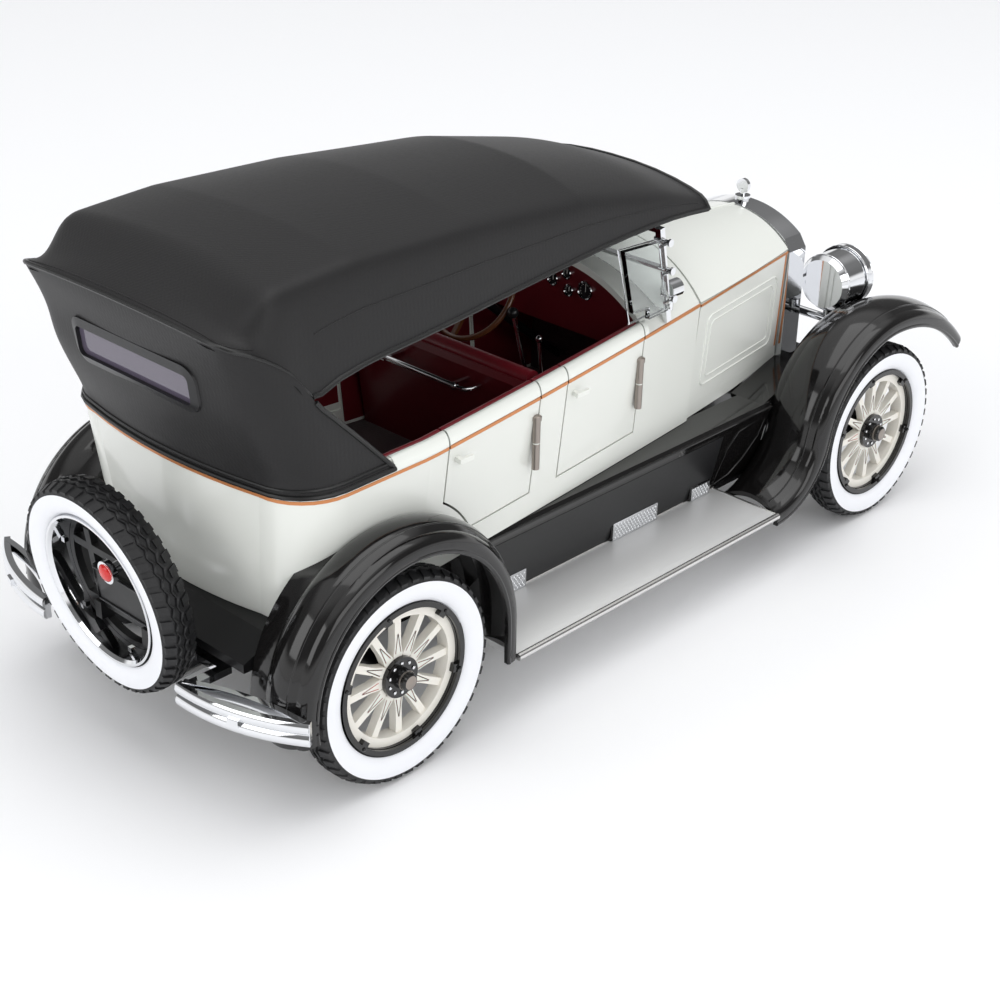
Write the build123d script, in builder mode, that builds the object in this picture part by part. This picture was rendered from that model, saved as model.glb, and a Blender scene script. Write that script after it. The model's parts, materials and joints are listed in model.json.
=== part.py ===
from build123d import *
from math import atan2, cos, degrees, radians, sin, sqrt
import os

# A die-cast scale model of a 1920s touring car, at 1:24, in millimetres.
# +X is forward, +Y is the car's left, +Z is up, and the wheels stand on Z = 0.

# Wheels and axles
wheelbase = 127.0
front_axle_x = 65.6
rear_axle_x = front_axle_x - wheelbase
track = 66.0
wheel_y = track / 2
tyre_radius = 17.67
tyre_width = 6.0
tread_crown = 0.8
wall_radius = 15.6
rim_radius = 12.7
rim_width = 3.4
felloe_radius = 11.7
felloe_width = 2.4
felloe_depth = 1.5
spoke_count = 12
spoke_width = 1.25
spoke_thickness = 1.5
hub_radius = 3.4
hub_cap_radius = 1.5
hub_cap_reach = 3.6
hub_back = 2.2
lug_count = 6
lug_size = 0.9
stub_radius = 1.0
running_clearance = 0.05
kingpin_y = 28.4
kingpin_radius = 0.8
axle_eye_radius = 1.7
axle_eye_height = 3.0

# Chassis
rail_y = 10.5
rail_width = 2.2
rail_z = (19.0, 23.0)
rail_x = (-84.0, 84.0)
cross_member_x = (-80.0, -32.0, -10.0, 50.0, 80.0)
cross_member_length = 3.0
base_screw_radius = 1.1
base_screw_x = (cross_member_x[2], cross_member_x[3])
spring_width = 2.4
spring_thickness = 1.4
spring_seat = 0.1
spring_half_length = 18.0
axle_tube_radius = 1.7
torque_tube_radius = 1.2
torque_tube_length = 40.0

# Body shell, from the cowl's front edge to the tail
floor_z = 27.0
belt_z = 49.9
belt_slope = 0.0153
rail_height = 2.2
rail_inset = 0.9
seam_x = 26.6
body_middle_x = -9.7
quarter_x = -50.0
tail_x = (-74.2, -75.8)
tail_bulge = 2.0
tail_corner = 9.0
body_wall = 1.7
floor_thickness = 1.3
panel_gap = 0.35
# Half widths of the shell, at the floor and at the belt, as for tail_x
seam_half = (18.3, 19.5)
middle_half = (22.3, 24.6)
quarter_half = (26.3, 29.2)
cowl_rear_x = 9.0
cowl_crown = (59.9, 59.6)
sill_z = 31.5
front_door_x = (-15.3, 8.0)
rear_door_x = (-45.9, -22.5)
hinge_radius = 0.6
hinge_inset = 1.0
hinge_z = (37.3, 46.6)

# Bonnet and radiator
bonnet_front_x = 60.7
bonnet_front_half = 14.0
bonnet_bottom_z = 29.5
bonnet_bottom_half = (17.8, 13.0)
bonnet_wall = 1.1
# Height of the bonnet's straight centre line at its two ends, on which the halves hinge
bonnet_crown = (59.9, 56.9)
bonnet_hinge_radius = 0.3
radiator_x = (61.0, 66.2)
radiator_half = 14.3
radiator_bottom_z = 28.6
radiator_shoulder_z = 50.4
radiator_top_z = 57.0
radiator_frame = 1.8
cap_x = 65.0

# Fenders, aprons and running boards
fender_edge_y = 36.4
fender_inner_y = 21.2
rear_fender_inner_y = 24.0
fender_thickness = 0.9
fender_lip = 1.8
fender_crown = 2.6
front_inner_h = -3.6
rear_inner_h = 0.9
valance_z = 19.5
front_arch = (68.0, 17.6, 22.5)
front_arch_nose = (92.1, 30.0)
rear_arch = (-59.7, 18.0, 21.65)
board_z = 12.06
board_thickness = 1.1
board_x = (-37.4, 32.5)
board_inner_y = 20.9
apron_ledge_y = 24.3
apron_ledge_z = 26.0
apron_thickness = 1.0
apron_x = (-36.4, 45.0)
apron_root_y = 17.5
catwalk_x = (43.0, 64.0)
catwalk_root_y = (16.0, 12.2)
catwalk_rise = 1.9
catwalk_thickness = 0.8

# Top
top_front_x = 23.5
top_thickness = 1.2

# Spare wheel on the tail
spare_x = -89.0
spare_z = 30.8
spare_tilt = -7.1

os.makedirs("parts", exist_ok=True)


def write(name, label):
    """Label a finished piece and write its STEP file."""
    name.part.label = label
    export_step(name.part, f"parts/{label}.step")


def belt_at(x):
    """Height of the belt line, which falls slightly towards the tail."""
    return belt_z + belt_slope * x


# Wheel pieces, made once about the Y axis with the outer face towards +Y
with BuildPart() as tyre_form:
    with BuildSketch(Plane.YZ) as tyre_section:
        with BuildLine():
            half = tyre_width / 2
            bead_half = rim_width / 2
            shoulder_radius = tyre_radius - tread_crown
            Polyline(
                (-bead_half, rim_radius),
                (-half, wall_radius),
                (-half + 0.3, shoulder_radius),
                (-half / 2, tyre_radius - tread_crown / 4),
                (0, tyre_radius),
                (half / 2, tyre_radius - tread_crown / 4),
                (half - 0.3, shoulder_radius),
                (half, wall_radius),
                (bead_half, rim_radius),
                (-bead_half, rim_radius),
            )
        make_face()
    revolve(axis=Axis.Y)

with BuildPart() as rim_form:
    with BuildSketch(Plane.YZ):
        with Locations((0, (rim_radius + felloe_radius) / 2)):
            Rectangle(rim_width, rim_radius - felloe_radius)
        with Locations((rim_width / 2 + 0.3, rim_radius - 0.45)):
            Rectangle(0.6, 0.9)
    revolve(axis=Axis.Y)
    lug_y = felloe_width / 2 + lug_size / 2
    for index in range(lug_count):
        turn = radians(15 + 360 / lug_count * index)
        radius = felloe_radius - 0.1
        place = Location(
            (radius * cos(turn), lug_y, radius * sin(turn)), (0, -degrees(turn), 0)
        )
        with Locations(place):
            Box(1.3, lug_size, 1.4)

with BuildSketch() as spoke_blade:
    with BuildLine():
        Polyline(
            (hub_radius - 0.9, 0),
            (hub_radius + 0.2, 0.95),
            (hub_radius + 2.2, spoke_width / 2),
            (felloe_radius - 0.4, spoke_width / 2),
            (felloe_radius - 0.4, -spoke_width / 2),
            (hub_radius + 2.2, -spoke_width / 2),
            (hub_radius + 0.2, -0.95),
            (hub_radius - 0.9, 0),
        )
    make_face()

with BuildPart() as spoke_form:
    with BuildSketch(Plane.XZ.offset(-felloe_width / 2)):
        Circle(felloe_radius)
        Circle(felloe_radius - felloe_depth, mode=Mode.SUBTRACT)
    extrude(amount=felloe_width)
    with BuildSketch(Plane.XZ.offset(-spoke_thickness / 2)):
        with PolarLocations(0, spoke_count):
            add(spoke_blade.sketch)
        Circle(hub_radius)
        Circle(hub_cap_radius, mode=Mode.SUBTRACT)
    extrude(amount=spoke_thickness)

with BuildPart() as hub_form:
    with BuildSketch(Plane.YZ):
        with BuildLine():
            Polyline(
                (-hub_back, stub_radius + running_clearance),
                (-hub_back, 2.4),
                (-1.6, hub_radius),
                (-spoke_thickness / 2, hub_radius),
                (-spoke_thickness / 2, hub_cap_radius),
                (spoke_thickness / 2, hub_cap_radius),
                (spoke_thickness / 2, hub_radius),
                (1.5, hub_radius),
                (1.5, hub_cap_radius + 0.2),
                (hub_cap_reach - 0.3, hub_cap_radius),
                (hub_cap_reach, hub_cap_radius - 0.3),
                (hub_cap_reach, 0),
                (hub_cap_reach - 0.7, 0),
                (hub_cap_reach - 0.7, stub_radius + running_clearance),
                (-hub_back, stub_radius + running_clearance),
            )
        make_face()
    revolve(axis=Axis.Y)

# The four road wheels: name, axle x, side
wheels = [
    ("fl", front_axle_x, 1),
    ("fr", front_axle_x, -1),
    ("rl", rear_axle_x, 1),
    ("rr", rear_axle_x, -1),
]
for name, axle_x, side in wheels:
    turn = 0 if side > 0 else 180
    place = Location((axle_x, side * wheel_y, tyre_radius), (0, 0, turn))
    for kind, form in (
        ("tyre", tyre_form),
        ("rim", rim_form),
        ("spokes", spoke_form),
        ("hub", hub_form),
    ):
        with BuildPart() as piece:
            with Locations(place):
                add(form.part)
        write(piece, f"{kind}_{name}")


# Rear axle: casing, differential and stub shafts, and the front beam with its two knuckles
hub_inner_y = wheel_y - hub_back
with BuildPart() as rear_axle:
    with BuildSketch(Plane.XZ.offset(-(hub_inner_y - 0.4))):
        with Locations((rear_axle_x, tyre_radius)):
            Circle(axle_tube_radius)
    extrude(amount=2 * (hub_inner_y - 0.4))
    with BuildSketch(Plane.XZ.offset(-(wheel_y + 1.8))):
        with Locations((rear_axle_x, tyre_radius)):
            Circle(stub_radius)
    extrude(amount=2 * (wheel_y + 1.8))
    with Locations((rear_axle_x, 0, tyre_radius)):
        Sphere(4.6)
    with BuildSketch(Plane.YZ.offset(rear_axle_x)):
        with Locations((0, tyre_radius)):
            Circle(torque_tube_radius)
    extrude(amount=torque_tube_length)
write(rear_axle, "rear_axle")

beam_height = 2.2
with BuildPart() as front_axle:
    with Locations((front_axle_x, 0, tyre_radius)):
        Box(2.4, 2 * kingpin_y, beam_height)
    for side in (1, -1):
        with Locations((front_axle_x, side * kingpin_y, tyre_radius)):
            Cylinder(axle_eye_radius, axle_eye_height)
            Cylinder(kingpin_radius + running_clearance, axle_eye_height, mode=Mode.SUBTRACT)
write(front_axle, "front_axle")

yoke_gap = 0.1
yoke_plate = 0.9
for name, side in (("left", 1), ("right", -1)):
    with BuildPart() as knuckle:
        pin_height = axle_eye_height + 2 * (yoke_gap + yoke_plate)
        with Locations((front_axle_x, side * kingpin_y, tyre_radius)):
            Cylinder(kingpin_radius, pin_height)
        for up in (1, -1):
            plate_z = tyre_radius + up * (axle_eye_height / 2 + yoke_gap + yoke_plate / 2)
            with Locations((front_axle_x, side * kingpin_y, plate_z)):
                Cylinder(axle_eye_radius, yoke_plate)
            with Locations((front_axle_x, side * (kingpin_y + 1.2), plate_z)):
                Box(2.2, 1.8, yoke_plate)
        back_y = kingpin_y + axle_eye_radius + 0.2
        with Locations((front_axle_x, side * (back_y + 0.05), tyre_radius)):
            Box(2.2, 0.3, pin_height)
        tip_y = wheel_y + 1.8
        stub_plane = Plane(
            origin=(front_axle_x, side * back_y, tyre_radius), z_dir=(0, side, 0)
        )
        with BuildSketch(stub_plane):
            Circle(stub_radius)
        extrude(amount=tip_y - back_y)
    write(knuckle, f"knuckle_{name}")

# Frame: two side rails joined by cross members, with a screw boss at two of them
rail_height_z = rail_z[1] - rail_z[0]
rail_middle_z = (rail_z[0] + rail_z[1]) / 2
with BuildPart() as frame:
    for side in (1, -1):
        with Locations(((rail_x[0] + rail_x[1]) / 2, side * rail_y, rail_middle_z)):
            Box(rail_x[1] - rail_x[0], rail_width, rail_height_z)
    for x in cross_member_x:
        with Locations((x, 0, rail_z[1] - 1.2)):
            Box(cross_member_length, 2 * rail_y, 2.4)
    for x in base_screw_x:
        with Locations((x, 0, rail_middle_z)):
            Cylinder(2.6, rail_height_z)
            Cylinder(base_screw_radius, rail_height_z, mode=Mode.SUBTRACT)
    # The rails are notched over the rear axle's casing
    with Locations(Location((rear_axle_x, 0, tyre_radius), (90, 0, 0))):
        Cylinder(axle_tube_radius + 0.4, 2 * rail_y + 2 * rail_width, mode=Mode.SUBTRACT)
write(frame, "frame")

# Leaf springs: a bowed pack under each rail, resting on or under its axle
spring_rows = [
    # axle x, height of the pack's top at the axle
    (front_axle_x, tyre_radius - beam_height / 2 - spring_seat),
    (rear_axle_x, tyre_radius - axle_tube_radius - spring_seat),
]
with BuildPart() as springs:
    for axle_x, top_z in spring_rows:
        for side in (1, -1):
            near_y = side * rail_y - spring_width / 2
            with BuildSketch(Plane.XZ.offset(-near_y)):
                with BuildLine():
                    left = (axle_x - spring_half_length, rail_z[0])
                    right = (axle_x + spring_half_length, rail_z[0])
                    ThreePointArc(left, (axle_x, top_z), right)
                    Line(right, (right[0], rail_z[0] - 0.9))
                    ThreePointArc(
                        (right[0], rail_z[0] - 0.9),
                        (axle_x, top_z - spring_thickness),
                        (left[0], rail_z[0] - 0.9),
                    )
                    Line((left[0], rail_z[0] - 0.9), left)
                make_face()
            extrude(amount=-spring_width)
write(springs, "springs")

# Engine: one plain block between the rails, carried on two cross members' height
engine_x = (30.0, 56.0)
engine_half_width = 7.0
engine_z = (rail_z[1], 44.0)
with BuildPart() as engine_block:
    with Locations(((engine_x[0] + engine_x[1]) / 2, 0, (engine_z[0] + engine_z[1]) / 2)):
        Box(engine_x[1] - engine_x[0], 2 * engine_half_width, engine_z[1] - engine_z[0])
write(engine_block, "engine_block")

# Exhaust: silencer and pipe hung from the cross members on the right-hand side
exhaust_y = -6.2
exhaust_z = 14.6
silencer_x = (-44.0, -20.0)
pipe_x = (-84.0, 30.0)
pipe_radius = 0.8
with BuildPart() as exhaust:
    with BuildSketch(Plane.YZ.offset(silencer_x[0])):
        with Locations((exhaust_y, exhaust_z + 0.7)):
            Ellipse(2.7, 1.7)
    extrude(amount=silencer_x[1] - silencer_x[0])
    with BuildSketch(Plane.YZ.offset(pipe_x[0])):
        with Locations((exhaust_y, exhaust_z)):
            Circle(pipe_radius)
    extrude(amount=pipe_x[1] - pipe_x[0])
    hanger_top = rail_z[1] - 2.4
    for x in cross_member_x[1:3]:
        with Locations((x, exhaust_y, (exhaust_z + hanger_top) / 2)):
            Box(1.2, 1.2, hanger_top - exhaust_z)
write(exhaust, "exhaust")


def shell_outline(level, inset):
    """Plan outline of the body shell, from the cowl seam round the tail."""
    front = seam_half[level] - inset
    middle = middle_half[level] - inset
    quarter = quarter_half[level] - inset
    rear = tail_x[level] + inset
    corner = tail_corner - inset
    nose = seam_x - (inset if inset > rail_inset else 0)
    bend = corner * (1 - cos(radians(45)))
    for side in (1, -1):
        ThreePointArc((nose, side * front), (body_middle_x, side * middle), (quarter_x, side * quarter))
        Line((quarter_x, side * quarter), (rear + corner, side * quarter))
        ThreePointArc(
            (rear + corner, side * quarter),
            (rear + bend, side * (quarter - bend)),
            (rear, side * (quarter - corner)),
        )
    Line((nose, front), (nose, -front))
    ThreePointArc((rear, quarter - corner), (rear - tail_bulge, 0), (rear, corner - quarter))


belt_plane = Plane(
    origin=(0, 0, belt_z), x_dir=(1, 0, belt_slope), z_dir=(-belt_slope, 0, 1)
)

# The whole body shell before it is split into its panels
with BuildPart() as shell_outer:
    for plane, level, inset in (
        (Plane.XY.offset(floor_z), 0, 0),
        (belt_plane, 1, 0),
        (belt_plane.offset(rail_height), 1, rail_inset),
    ):
        with BuildSketch(plane):
            with BuildLine():
                shell_outline(level, inset)
            make_face()
    loft(ruled=True)

with BuildPart() as shell_cavity:
    for plane, level, inset in (
        (Plane.XY.offset(floor_z + floor_thickness), 0, body_wall),
        (belt_plane, 1, body_wall),
        (belt_plane.offset(rail_height + 1), 1, body_wall),
    ):
        with BuildSketch(plane):
            with BuildLine():
                shell_outline(level, inset)
            make_face()
    loft(ruled=True)

# The room left for the trim inside: the cavity, less a small gap
trim_gap = 0.35
with BuildPart() as cabin_space:
    for plane, level in (
        (Plane.XY.offset(floor_z + floor_thickness + 0.05), 0),
        (belt_plane, 1),
        (belt_plane.offset(rail_height + 1), 1),
    ):
        with BuildSketch(plane):
            with BuildLine():
                shell_outline(level, body_wall + trim_gap)
            make_face()
    loft(ruled=True)

with BuildPart() as shell:
    add(shell_outer.part)
    add(shell_cavity.part, mode=Mode.SUBTRACT)


def arch_section(x, half, base_z, crown_z):
    """Face across the car: a flat base and a round crown, as the cowl and bonnet have."""
    with BuildSketch(Plane.YZ.offset(x)) as section:
        with BuildLine():
            Line((-half, base_z), (half, base_z))
            ThreePointArc((half, base_z), (0, crown_z), (-half, base_z))
        make_face()
    return section.sketch


def half_at_belt(x):
    """Half width of the shell at the belt, on the arc of its side."""
    x1, y1 = seam_x, seam_half[1]
    x2, y2 = body_middle_x, middle_half[1]
    x3, y3 = quarter_x, quarter_half[1]
    area = 2 * (x1 * (y2 - y3) + x2 * (y3 - y1) + x3 * (y1 - y2))
    s1, s2, s3 = x1 * x1 + y1 * y1, x2 * x2 + y2 * y2, x3 * x3 + y3 * y3
    cx = (s1 * (y2 - y3) + s2 * (y3 - y1) + s3 * (y1 - y2)) / area
    cy = (s1 * (x3 - x2) + s2 * (x1 - x3) + s3 * (x2 - x1)) / area
    return cy + sqrt((x1 - cx) ** 2 + (y1 - cy) ** 2 - (x - cx) ** 2)


# Cowl: the shell ahead of the front doors, with its arched top
cowl_wall = 1.3
with BuildPart() as cowl_block:
    for x, crown in zip((seam_x, cowl_rear_x), cowl_crown):
        add(arch_section(x, half_at_belt(x), belt_at(x), crown))
    loft(ruled=True)
with BuildPart() as cowl_top:
    for x, crown in zip((seam_x, cowl_rear_x), cowl_crown):
        add(arch_section(x, half_at_belt(x), belt_at(x), crown))
    loft(ruled=True)
    for x, crown in zip((seam_x + 1, cowl_rear_x - 1), cowl_crown):
        inner = half_at_belt(x) - cowl_wall
        add(arch_section(x, inner, belt_at(x) - 0.01, crown - cowl_wall))
    loft(ruled=True, mode=Mode.SUBTRACT)

# Doors: each is a panel of the shell, cut out with a gap all round
door_rows = [
    ("front", front_door_x),
    ("rear", rear_door_x),
]
door_top = belt_z + 6
arch_x, arch_z, arch_radius = rear_arch
arch_cut = arch_radius + fender_crown + 1.0
handle_drop = 2.7
handle_back = 2.2
with BuildPart() as door_openings:
    for name, (rear_x, front_x) in door_rows:
        with Locations(((rear_x + front_x) / 2, 0, (sill_z + door_top) / 2)):
            Box(front_x - rear_x, 80, door_top - sill_z)
    with Locations(Location((arch_x, 0, arch_z), (90, 0, 0))):
        Cylinder(arch_cut, 80, mode=Mode.SUBTRACT)

with BuildPart() as doors_only:
    for name, (rear_x, front_x) in door_rows:
        low_z = sill_z + panel_gap
        with Locations(((rear_x + front_x) / 2, 0, (low_z + door_top) / 2)):
            Box(front_x - rear_x - 2 * panel_gap, 80, door_top - low_z)
    with Locations(Location((arch_x, 0, arch_z), (90, 0, 0))):
        Cylinder(arch_cut + panel_gap, 80, mode=Mode.SUBTRACT)

for end, (rear_x, front_x) in door_rows:
    hinge_x = front_x - hinge_inset
    hinge_y = half_at_belt(hinge_x) - 0.1
    handle_x = rear_x + handle_back
    handle_y = half_at_belt(handle_x) - 0.2
    handle_z = belt_at(handle_x) - handle_drop
    for name, side in (("left", 1), ("right", -1)):
        with BuildPart() as door:
            with Locations(((rear_x + front_x) / 2, side * 30, belt_z)):
                Box(front_x - rear_x, 60, 60)
            add(shell.part, mode=Mode.INTERSECT)
            add(doors_only.part, mode=Mode.INTERSECT)
            with Locations((hinge_x, side * hinge_y, (hinge_z[0] + hinge_z[1]) / 2)):
                Cylinder(hinge_radius, hinge_z[1] - hinge_z[0])
            with Locations((handle_x, side * (handle_y + 0.5), handle_z)):
                Box(0.8, 1.4, 0.8)
            with Locations((handle_x + 0.9, side * (handle_y + 1.1), handle_z)):
                Box(3.0, 0.6, 0.8)
        write(door, f"door_{end}_{name}")

with BuildPart() as cowl:
    add(shell.part)
    with Locations(((front_door_x[1] + seam_x) / 2, 0, belt_z)):
        Box(seam_x - front_door_x[1], 80, 60, mode=Mode.INTERSECT)
    split(bisect_by=belt_plane, keep=Keep.BOTTOM)
    add(cowl_top.part)
write(cowl, "cowl")

with BuildPart() as body_tub:
    add(shell.part)
    with Locations((front_door_x[1] - 60, 0, belt_z)):
        Box(120, 80, 60, mode=Mode.INTERSECT)
    add(door_openings.part, mode=Mode.SUBTRACT)
write(body_tub, "body_tub")

# Bonnet: two top halves hinged on the centre line, and two fixed side panels
def crown_at(x):
    """Height of the bonnet's centre line."""
    share = (x - seam_x) / (bonnet_front_x - seam_x)
    return bonnet_crown[0] + share * (bonnet_crown[1] - bonnet_crown[0])


bonnet_middle_x = (seam_x + bonnet_front_x) / 2
bonnet_middle_half = (seam_half[1] + bonnet_front_half) / 2 + 0.35
bonnet_rows = [
    # x, half width, crown height
    (seam_x + panel_gap, seam_half[1] - 0.05, crown_at(seam_x + panel_gap)),
    (bonnet_middle_x, bonnet_middle_half, crown_at(bonnet_middle_x)),
    (bonnet_front_x, bonnet_front_half, crown_at(bonnet_front_x)),
]
with BuildPart() as bonnet_hollow:
    for x, half, crown in bonnet_rows:
        add(arch_section(x, half - bonnet_wall, belt_at(x) + panel_gap - 0.01, crown - bonnet_wall))
    loft()
with BuildPart() as bonnet_top:
    for x, half, crown in bonnet_rows:
        add(arch_section(x, half, belt_at(x) + panel_gap, crown))
    loft()
    add(bonnet_hollow.part, mode=Mode.SUBTRACT)

for name, side in (("left", 1), ("right", -1)):
    with BuildPart() as bonnet_half:
        near_y = bonnet_hinge_radius + running_clearance
        with Locations((bonnet_middle_x, side * (near_y + 20), belt_z)):
            Box(60, 40, 40)
        add(bonnet_top.part, mode=Mode.INTERSECT)
    write(bonnet_half, f"bonnet_{name}")

# The rod that both halves hang on, between the cowl and the radiator
rod_ends = [(x, crown_at(x)) for x in (seam_x, radiator_x[0])]
with BuildPart() as bonnet_hinge:
    rod_run = Vector(rod_ends[1][0] - rod_ends[0][0], 0, rod_ends[1][1] - rod_ends[0][1])
    rod_plane = Plane(
        origin=(rod_ends[0][0] - 1, 0, rod_ends[0][1] - rod_run.Z / rod_run.X), x_dir=(0, 1, 0), z_dir=rod_run
    )
    with BuildSketch(rod_plane):
        Circle(bonnet_hinge_radius)
    extrude(amount=rod_run.length + 2)
    with Locations(((seam_x + radiator_x[0]) / 2, 0, belt_z)):
        Box(radiator_x[0] - seam_x, 10, 40, mode=Mode.INTERSECT)
write(bonnet_hinge, "bonnet_hinge")

with BuildPart() as bonnet_sides:
    for side in (1, -1):
        for x, top_half, low_half in (
            (seam_x + panel_gap, seam_half[1], bonnet_bottom_half[0]),
            (bonnet_front_x, bonnet_front_half, bonnet_bottom_half[1]),
        ):
            with BuildSketch(Plane.YZ.offset(x)):
                with BuildLine():
                    Polyline(
                        (side * top_half, belt_at(x)),
                        (side * low_half, bonnet_bottom_z),
                        (side * (low_half - bonnet_wall), bonnet_bottom_z),
                        (side * (top_half - bonnet_wall), belt_at(x)),
                        (side * top_half, belt_at(x)),
                    )
                make_face()
        loft(ruled=True)
write(bonnet_sides, "bonnet_sides")


def radiator_outline(inset):
    """Front outline of the radiator: upright sides, cut shoulders and a round top."""
    half = radiator_half - inset
    top = radiator_top_z - inset
    low = radiator_bottom_z + inset
    shoulder = (half - 1.6, radiator_shoulder_z + 2.4 - inset)
    Line((-half, low), (half, low))
    Polyline((half, low), (half, radiator_shoulder_z - inset * 0.4), shoulder)
    ThreePointArc(shoulder, (0, top), (-shoulder[0], shoulder[1]))
    Polyline((-shoulder[0], shoulder[1]), (-half, radiator_shoulder_z - inset * 0.4), (-half, low))


core_depth = 2.0
core_back = 1.2
with BuildPart() as radiator_shell:
    with BuildSketch(Plane.YZ.offset(radiator_x[0])):
        with BuildLine():
            radiator_outline(0)
        make_face()
    extrude(amount=radiator_x[1] - radiator_x[0])
    with BuildSketch(Plane.YZ.offset(radiator_x[0])):
        with BuildLine():
            radiator_outline(radiator_frame)
        make_face()
    extrude(amount=radiator_x[1] - radiator_x[0], mode=Mode.SUBTRACT)
    with Locations((cap_x - 1.2, 0, radiator_top_z + 0.4)):
        Cylinder(1.5, 1.4)
        with Locations((0, 0, 1.2)):
            Cylinder(0.55, 1.6)
    with BuildSketch(Plane.YZ.offset(cap_x - 1.6)):
        with Locations((0, radiator_top_z + 3.0)):
            Circle(1.4)
    extrude(amount=0.8)
write(radiator_shell, "radiator_shell")

with BuildPart() as radiator_core:
    with BuildSketch(Plane.YZ.offset(radiator_x[0] + core_back)):
        with BuildLine():
            radiator_outline(radiator_frame)
        make_face()
    extrude(amount=core_depth)
write(radiator_core, "radiator_core")

# Fenders: one crowned section with a turned-down lip, swept over each wheel


def fender_section(plane, inner_y, inner_h):
    """Cross-section of a fender: its inner edge is at inner_y, inner_h above the bead's line."""
    t = fender_thickness
    shoulder_y, shoulder_h = inner_y + 3.8, 1.2
    bend_y, bend_h = inner_y + 1.3, inner_h + 0.68 * (shoulder_h - inner_h)
    roll_y = fender_edge_y - 1.8
    middle = (shoulder_y + roll_y) / 2
    with BuildSketch(plane) as section:
        with BuildLine():
            ThreePointArc((inner_y, inner_h), (bend_y, bend_h), (shoulder_y, shoulder_h))
            ThreePointArc((shoulder_y, shoulder_h), (middle, fender_crown), (roll_y, 1.3))
            ThreePointArc((roll_y, 1.3), (fender_edge_y - 0.5, 0.6), (fender_edge_y, -0.8))
            Line((fender_edge_y, -0.8), (fender_edge_y, -fender_lip))
            Line((fender_edge_y, -fender_lip), (fender_edge_y - t, -fender_lip))
            Line((fender_edge_y - t, -fender_lip), (fender_edge_y - t, -0.8))
            ThreePointArc((fender_edge_y - t, -0.8), (fender_edge_y - 1.2, 0), (roll_y - 0.2, 1.3 - t))
            ThreePointArc(
                (roll_y - 0.2, 1.3 - t), (middle, fender_crown - t), (shoulder_y + 0.2, shoulder_h - t)
            )
            ThreePointArc(
                (shoulder_y + 0.2, shoulder_h - t), (bend_y + 0.4, bend_h - t), (inner_y, inner_h - t)
            )
            Line((inner_y, inner_h - t), (inner_y, inner_h))
        make_face()
    return section.sketch


board_edge_z = board_z - 0.8
crest_x, crest_z, crest_radius = front_arch
nose_x, nose_z = front_arch_nose
# The nose arc is level over the crest and passes through the fender's tip
crest_top = crest_z + crest_radius
nose_radius = ((nose_x - crest_x) ** 2 + (crest_top - nose_z) ** 2) / (2 * (crest_top - nose_z))
# The sweep up from the running board is level at its end and tangent to the crest arc
rise_x = board_x[1] + 0.2
rise_run = crest_x - rise_x
rise_drop = crest_z - board_edge_z
rise_radius = (rise_run**2 + rise_drop**2 - crest_radius**2) / (2 * (crest_radius + rise_drop))
rise_centre = (rise_x, board_edge_z + rise_radius)
reach = sqrt(rise_run**2 + (rise_centre[1] - crest_z) ** 2)
meet = (
    crest_x - crest_radius * rise_run / reach,
    crest_z + crest_radius * (rise_centre[1] - crest_z) / reach,
)


def arc_between(centre, start, end, clockwise):
    """Arc in the XZ plane, given by its centre and its two ends."""
    a = atan2(start[1] - centre[1], start[0] - centre[0])
    b = atan2(end[1] - centre[1], end[0] - centre[0])
    turn = 2 * 3.141592653589793
    if clockwise and b > a:
        b -= turn
    if not clockwise and b < a:
        b += turn
    radius = sqrt((start[0] - centre[0]) ** 2 + (start[1] - centre[1]) ** 2)
    middle = (centre[0] + radius * cos((a + b) / 2), centre[1] + radius * sin((a + b) / 2))
    points = [(p[0], 0, p[1]) for p in (start, middle, end)]
    return ThreePointArc(*points)


with BuildPart() as front_fenders:
    with BuildLine() as front_path:
        arc_between(rise_centre, (rise_x, board_edge_z), meet, False)
        arc_between((crest_x, crest_z), meet, (crest_x, crest_top), True)
        arc_between((crest_x, crest_top - nose_radius), (crest_x, crest_top), (nose_x, nose_z), True)
    start_plane = Plane(
        origin=(rise_x, 0, board_edge_z), x_dir=(0, 1, 0), z_dir=(1, 0, 0)
    )
    add(fender_section(start_plane, fender_inner_y, front_inner_h))
    sweep(path=front_path.wires()[0])
    # Its inner edge ends level with the bead at the running board
    low_z = board_edge_z - fender_lip
    with Locations(((rise_x + crest_x - crest_radius) / 2, 0, low_z - 5)):
        Box(crest_x - crest_radius - rise_x + 4, 100, 10, mode=Mode.SUBTRACT)
    # Inner valance: closes the arch down to the frame's height
    with BuildSketch(Plane.XZ.offset(-fender_inner_y)):
        with Locations((crest_x, crest_z)):
            Circle(crest_radius + front_inner_h)
        with Locations((crest_x, valance_z - 20)):
            Rectangle(80, 40, mode=Mode.SUBTRACT)
    extrude(amount=-fender_thickness)
    mirror(about=Plane.XZ)
write(front_fenders, "front_fenders")

drop_x = arch_x + arch_radius
tail_angle = radians(188)
arch_end = (arch_x + arch_radius * cos(tail_angle), arch_z + arch_radius * sin(tail_angle))
with BuildPart() as rear_fenders:
    with BuildLine() as rear_path:
        Line((drop_x, 0, board_edge_z), (drop_x, 0, arch_z))
        arc_between((arch_x, arch_z), (drop_x, arch_z), arch_end, False)
    start_plane = Plane(
        origin=(drop_x, 0, board_edge_z), x_dir=(0, -1, 0), z_dir=(0, 0, 1)
    )
    add(fender_section(start_plane, rear_fender_inner_y, rear_inner_h))
    sweep(path=rear_path.wires()[0])
    with BuildSketch(Plane.XZ.offset(rear_fender_inner_y)):
        with Locations((arch_x, arch_z)):
            Circle(arch_radius + 0.6)
        with Locations((arch_x, valance_z - 20)):
            Rectangle(80, 40, mode=Mode.SUBTRACT)
    extrude(amount=fender_thickness)
    mirror(about=Plane.XZ)
    add(shell_outer.part, mode=Mode.SUBTRACT)
write(rear_fenders, "rear_fenders")

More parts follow.
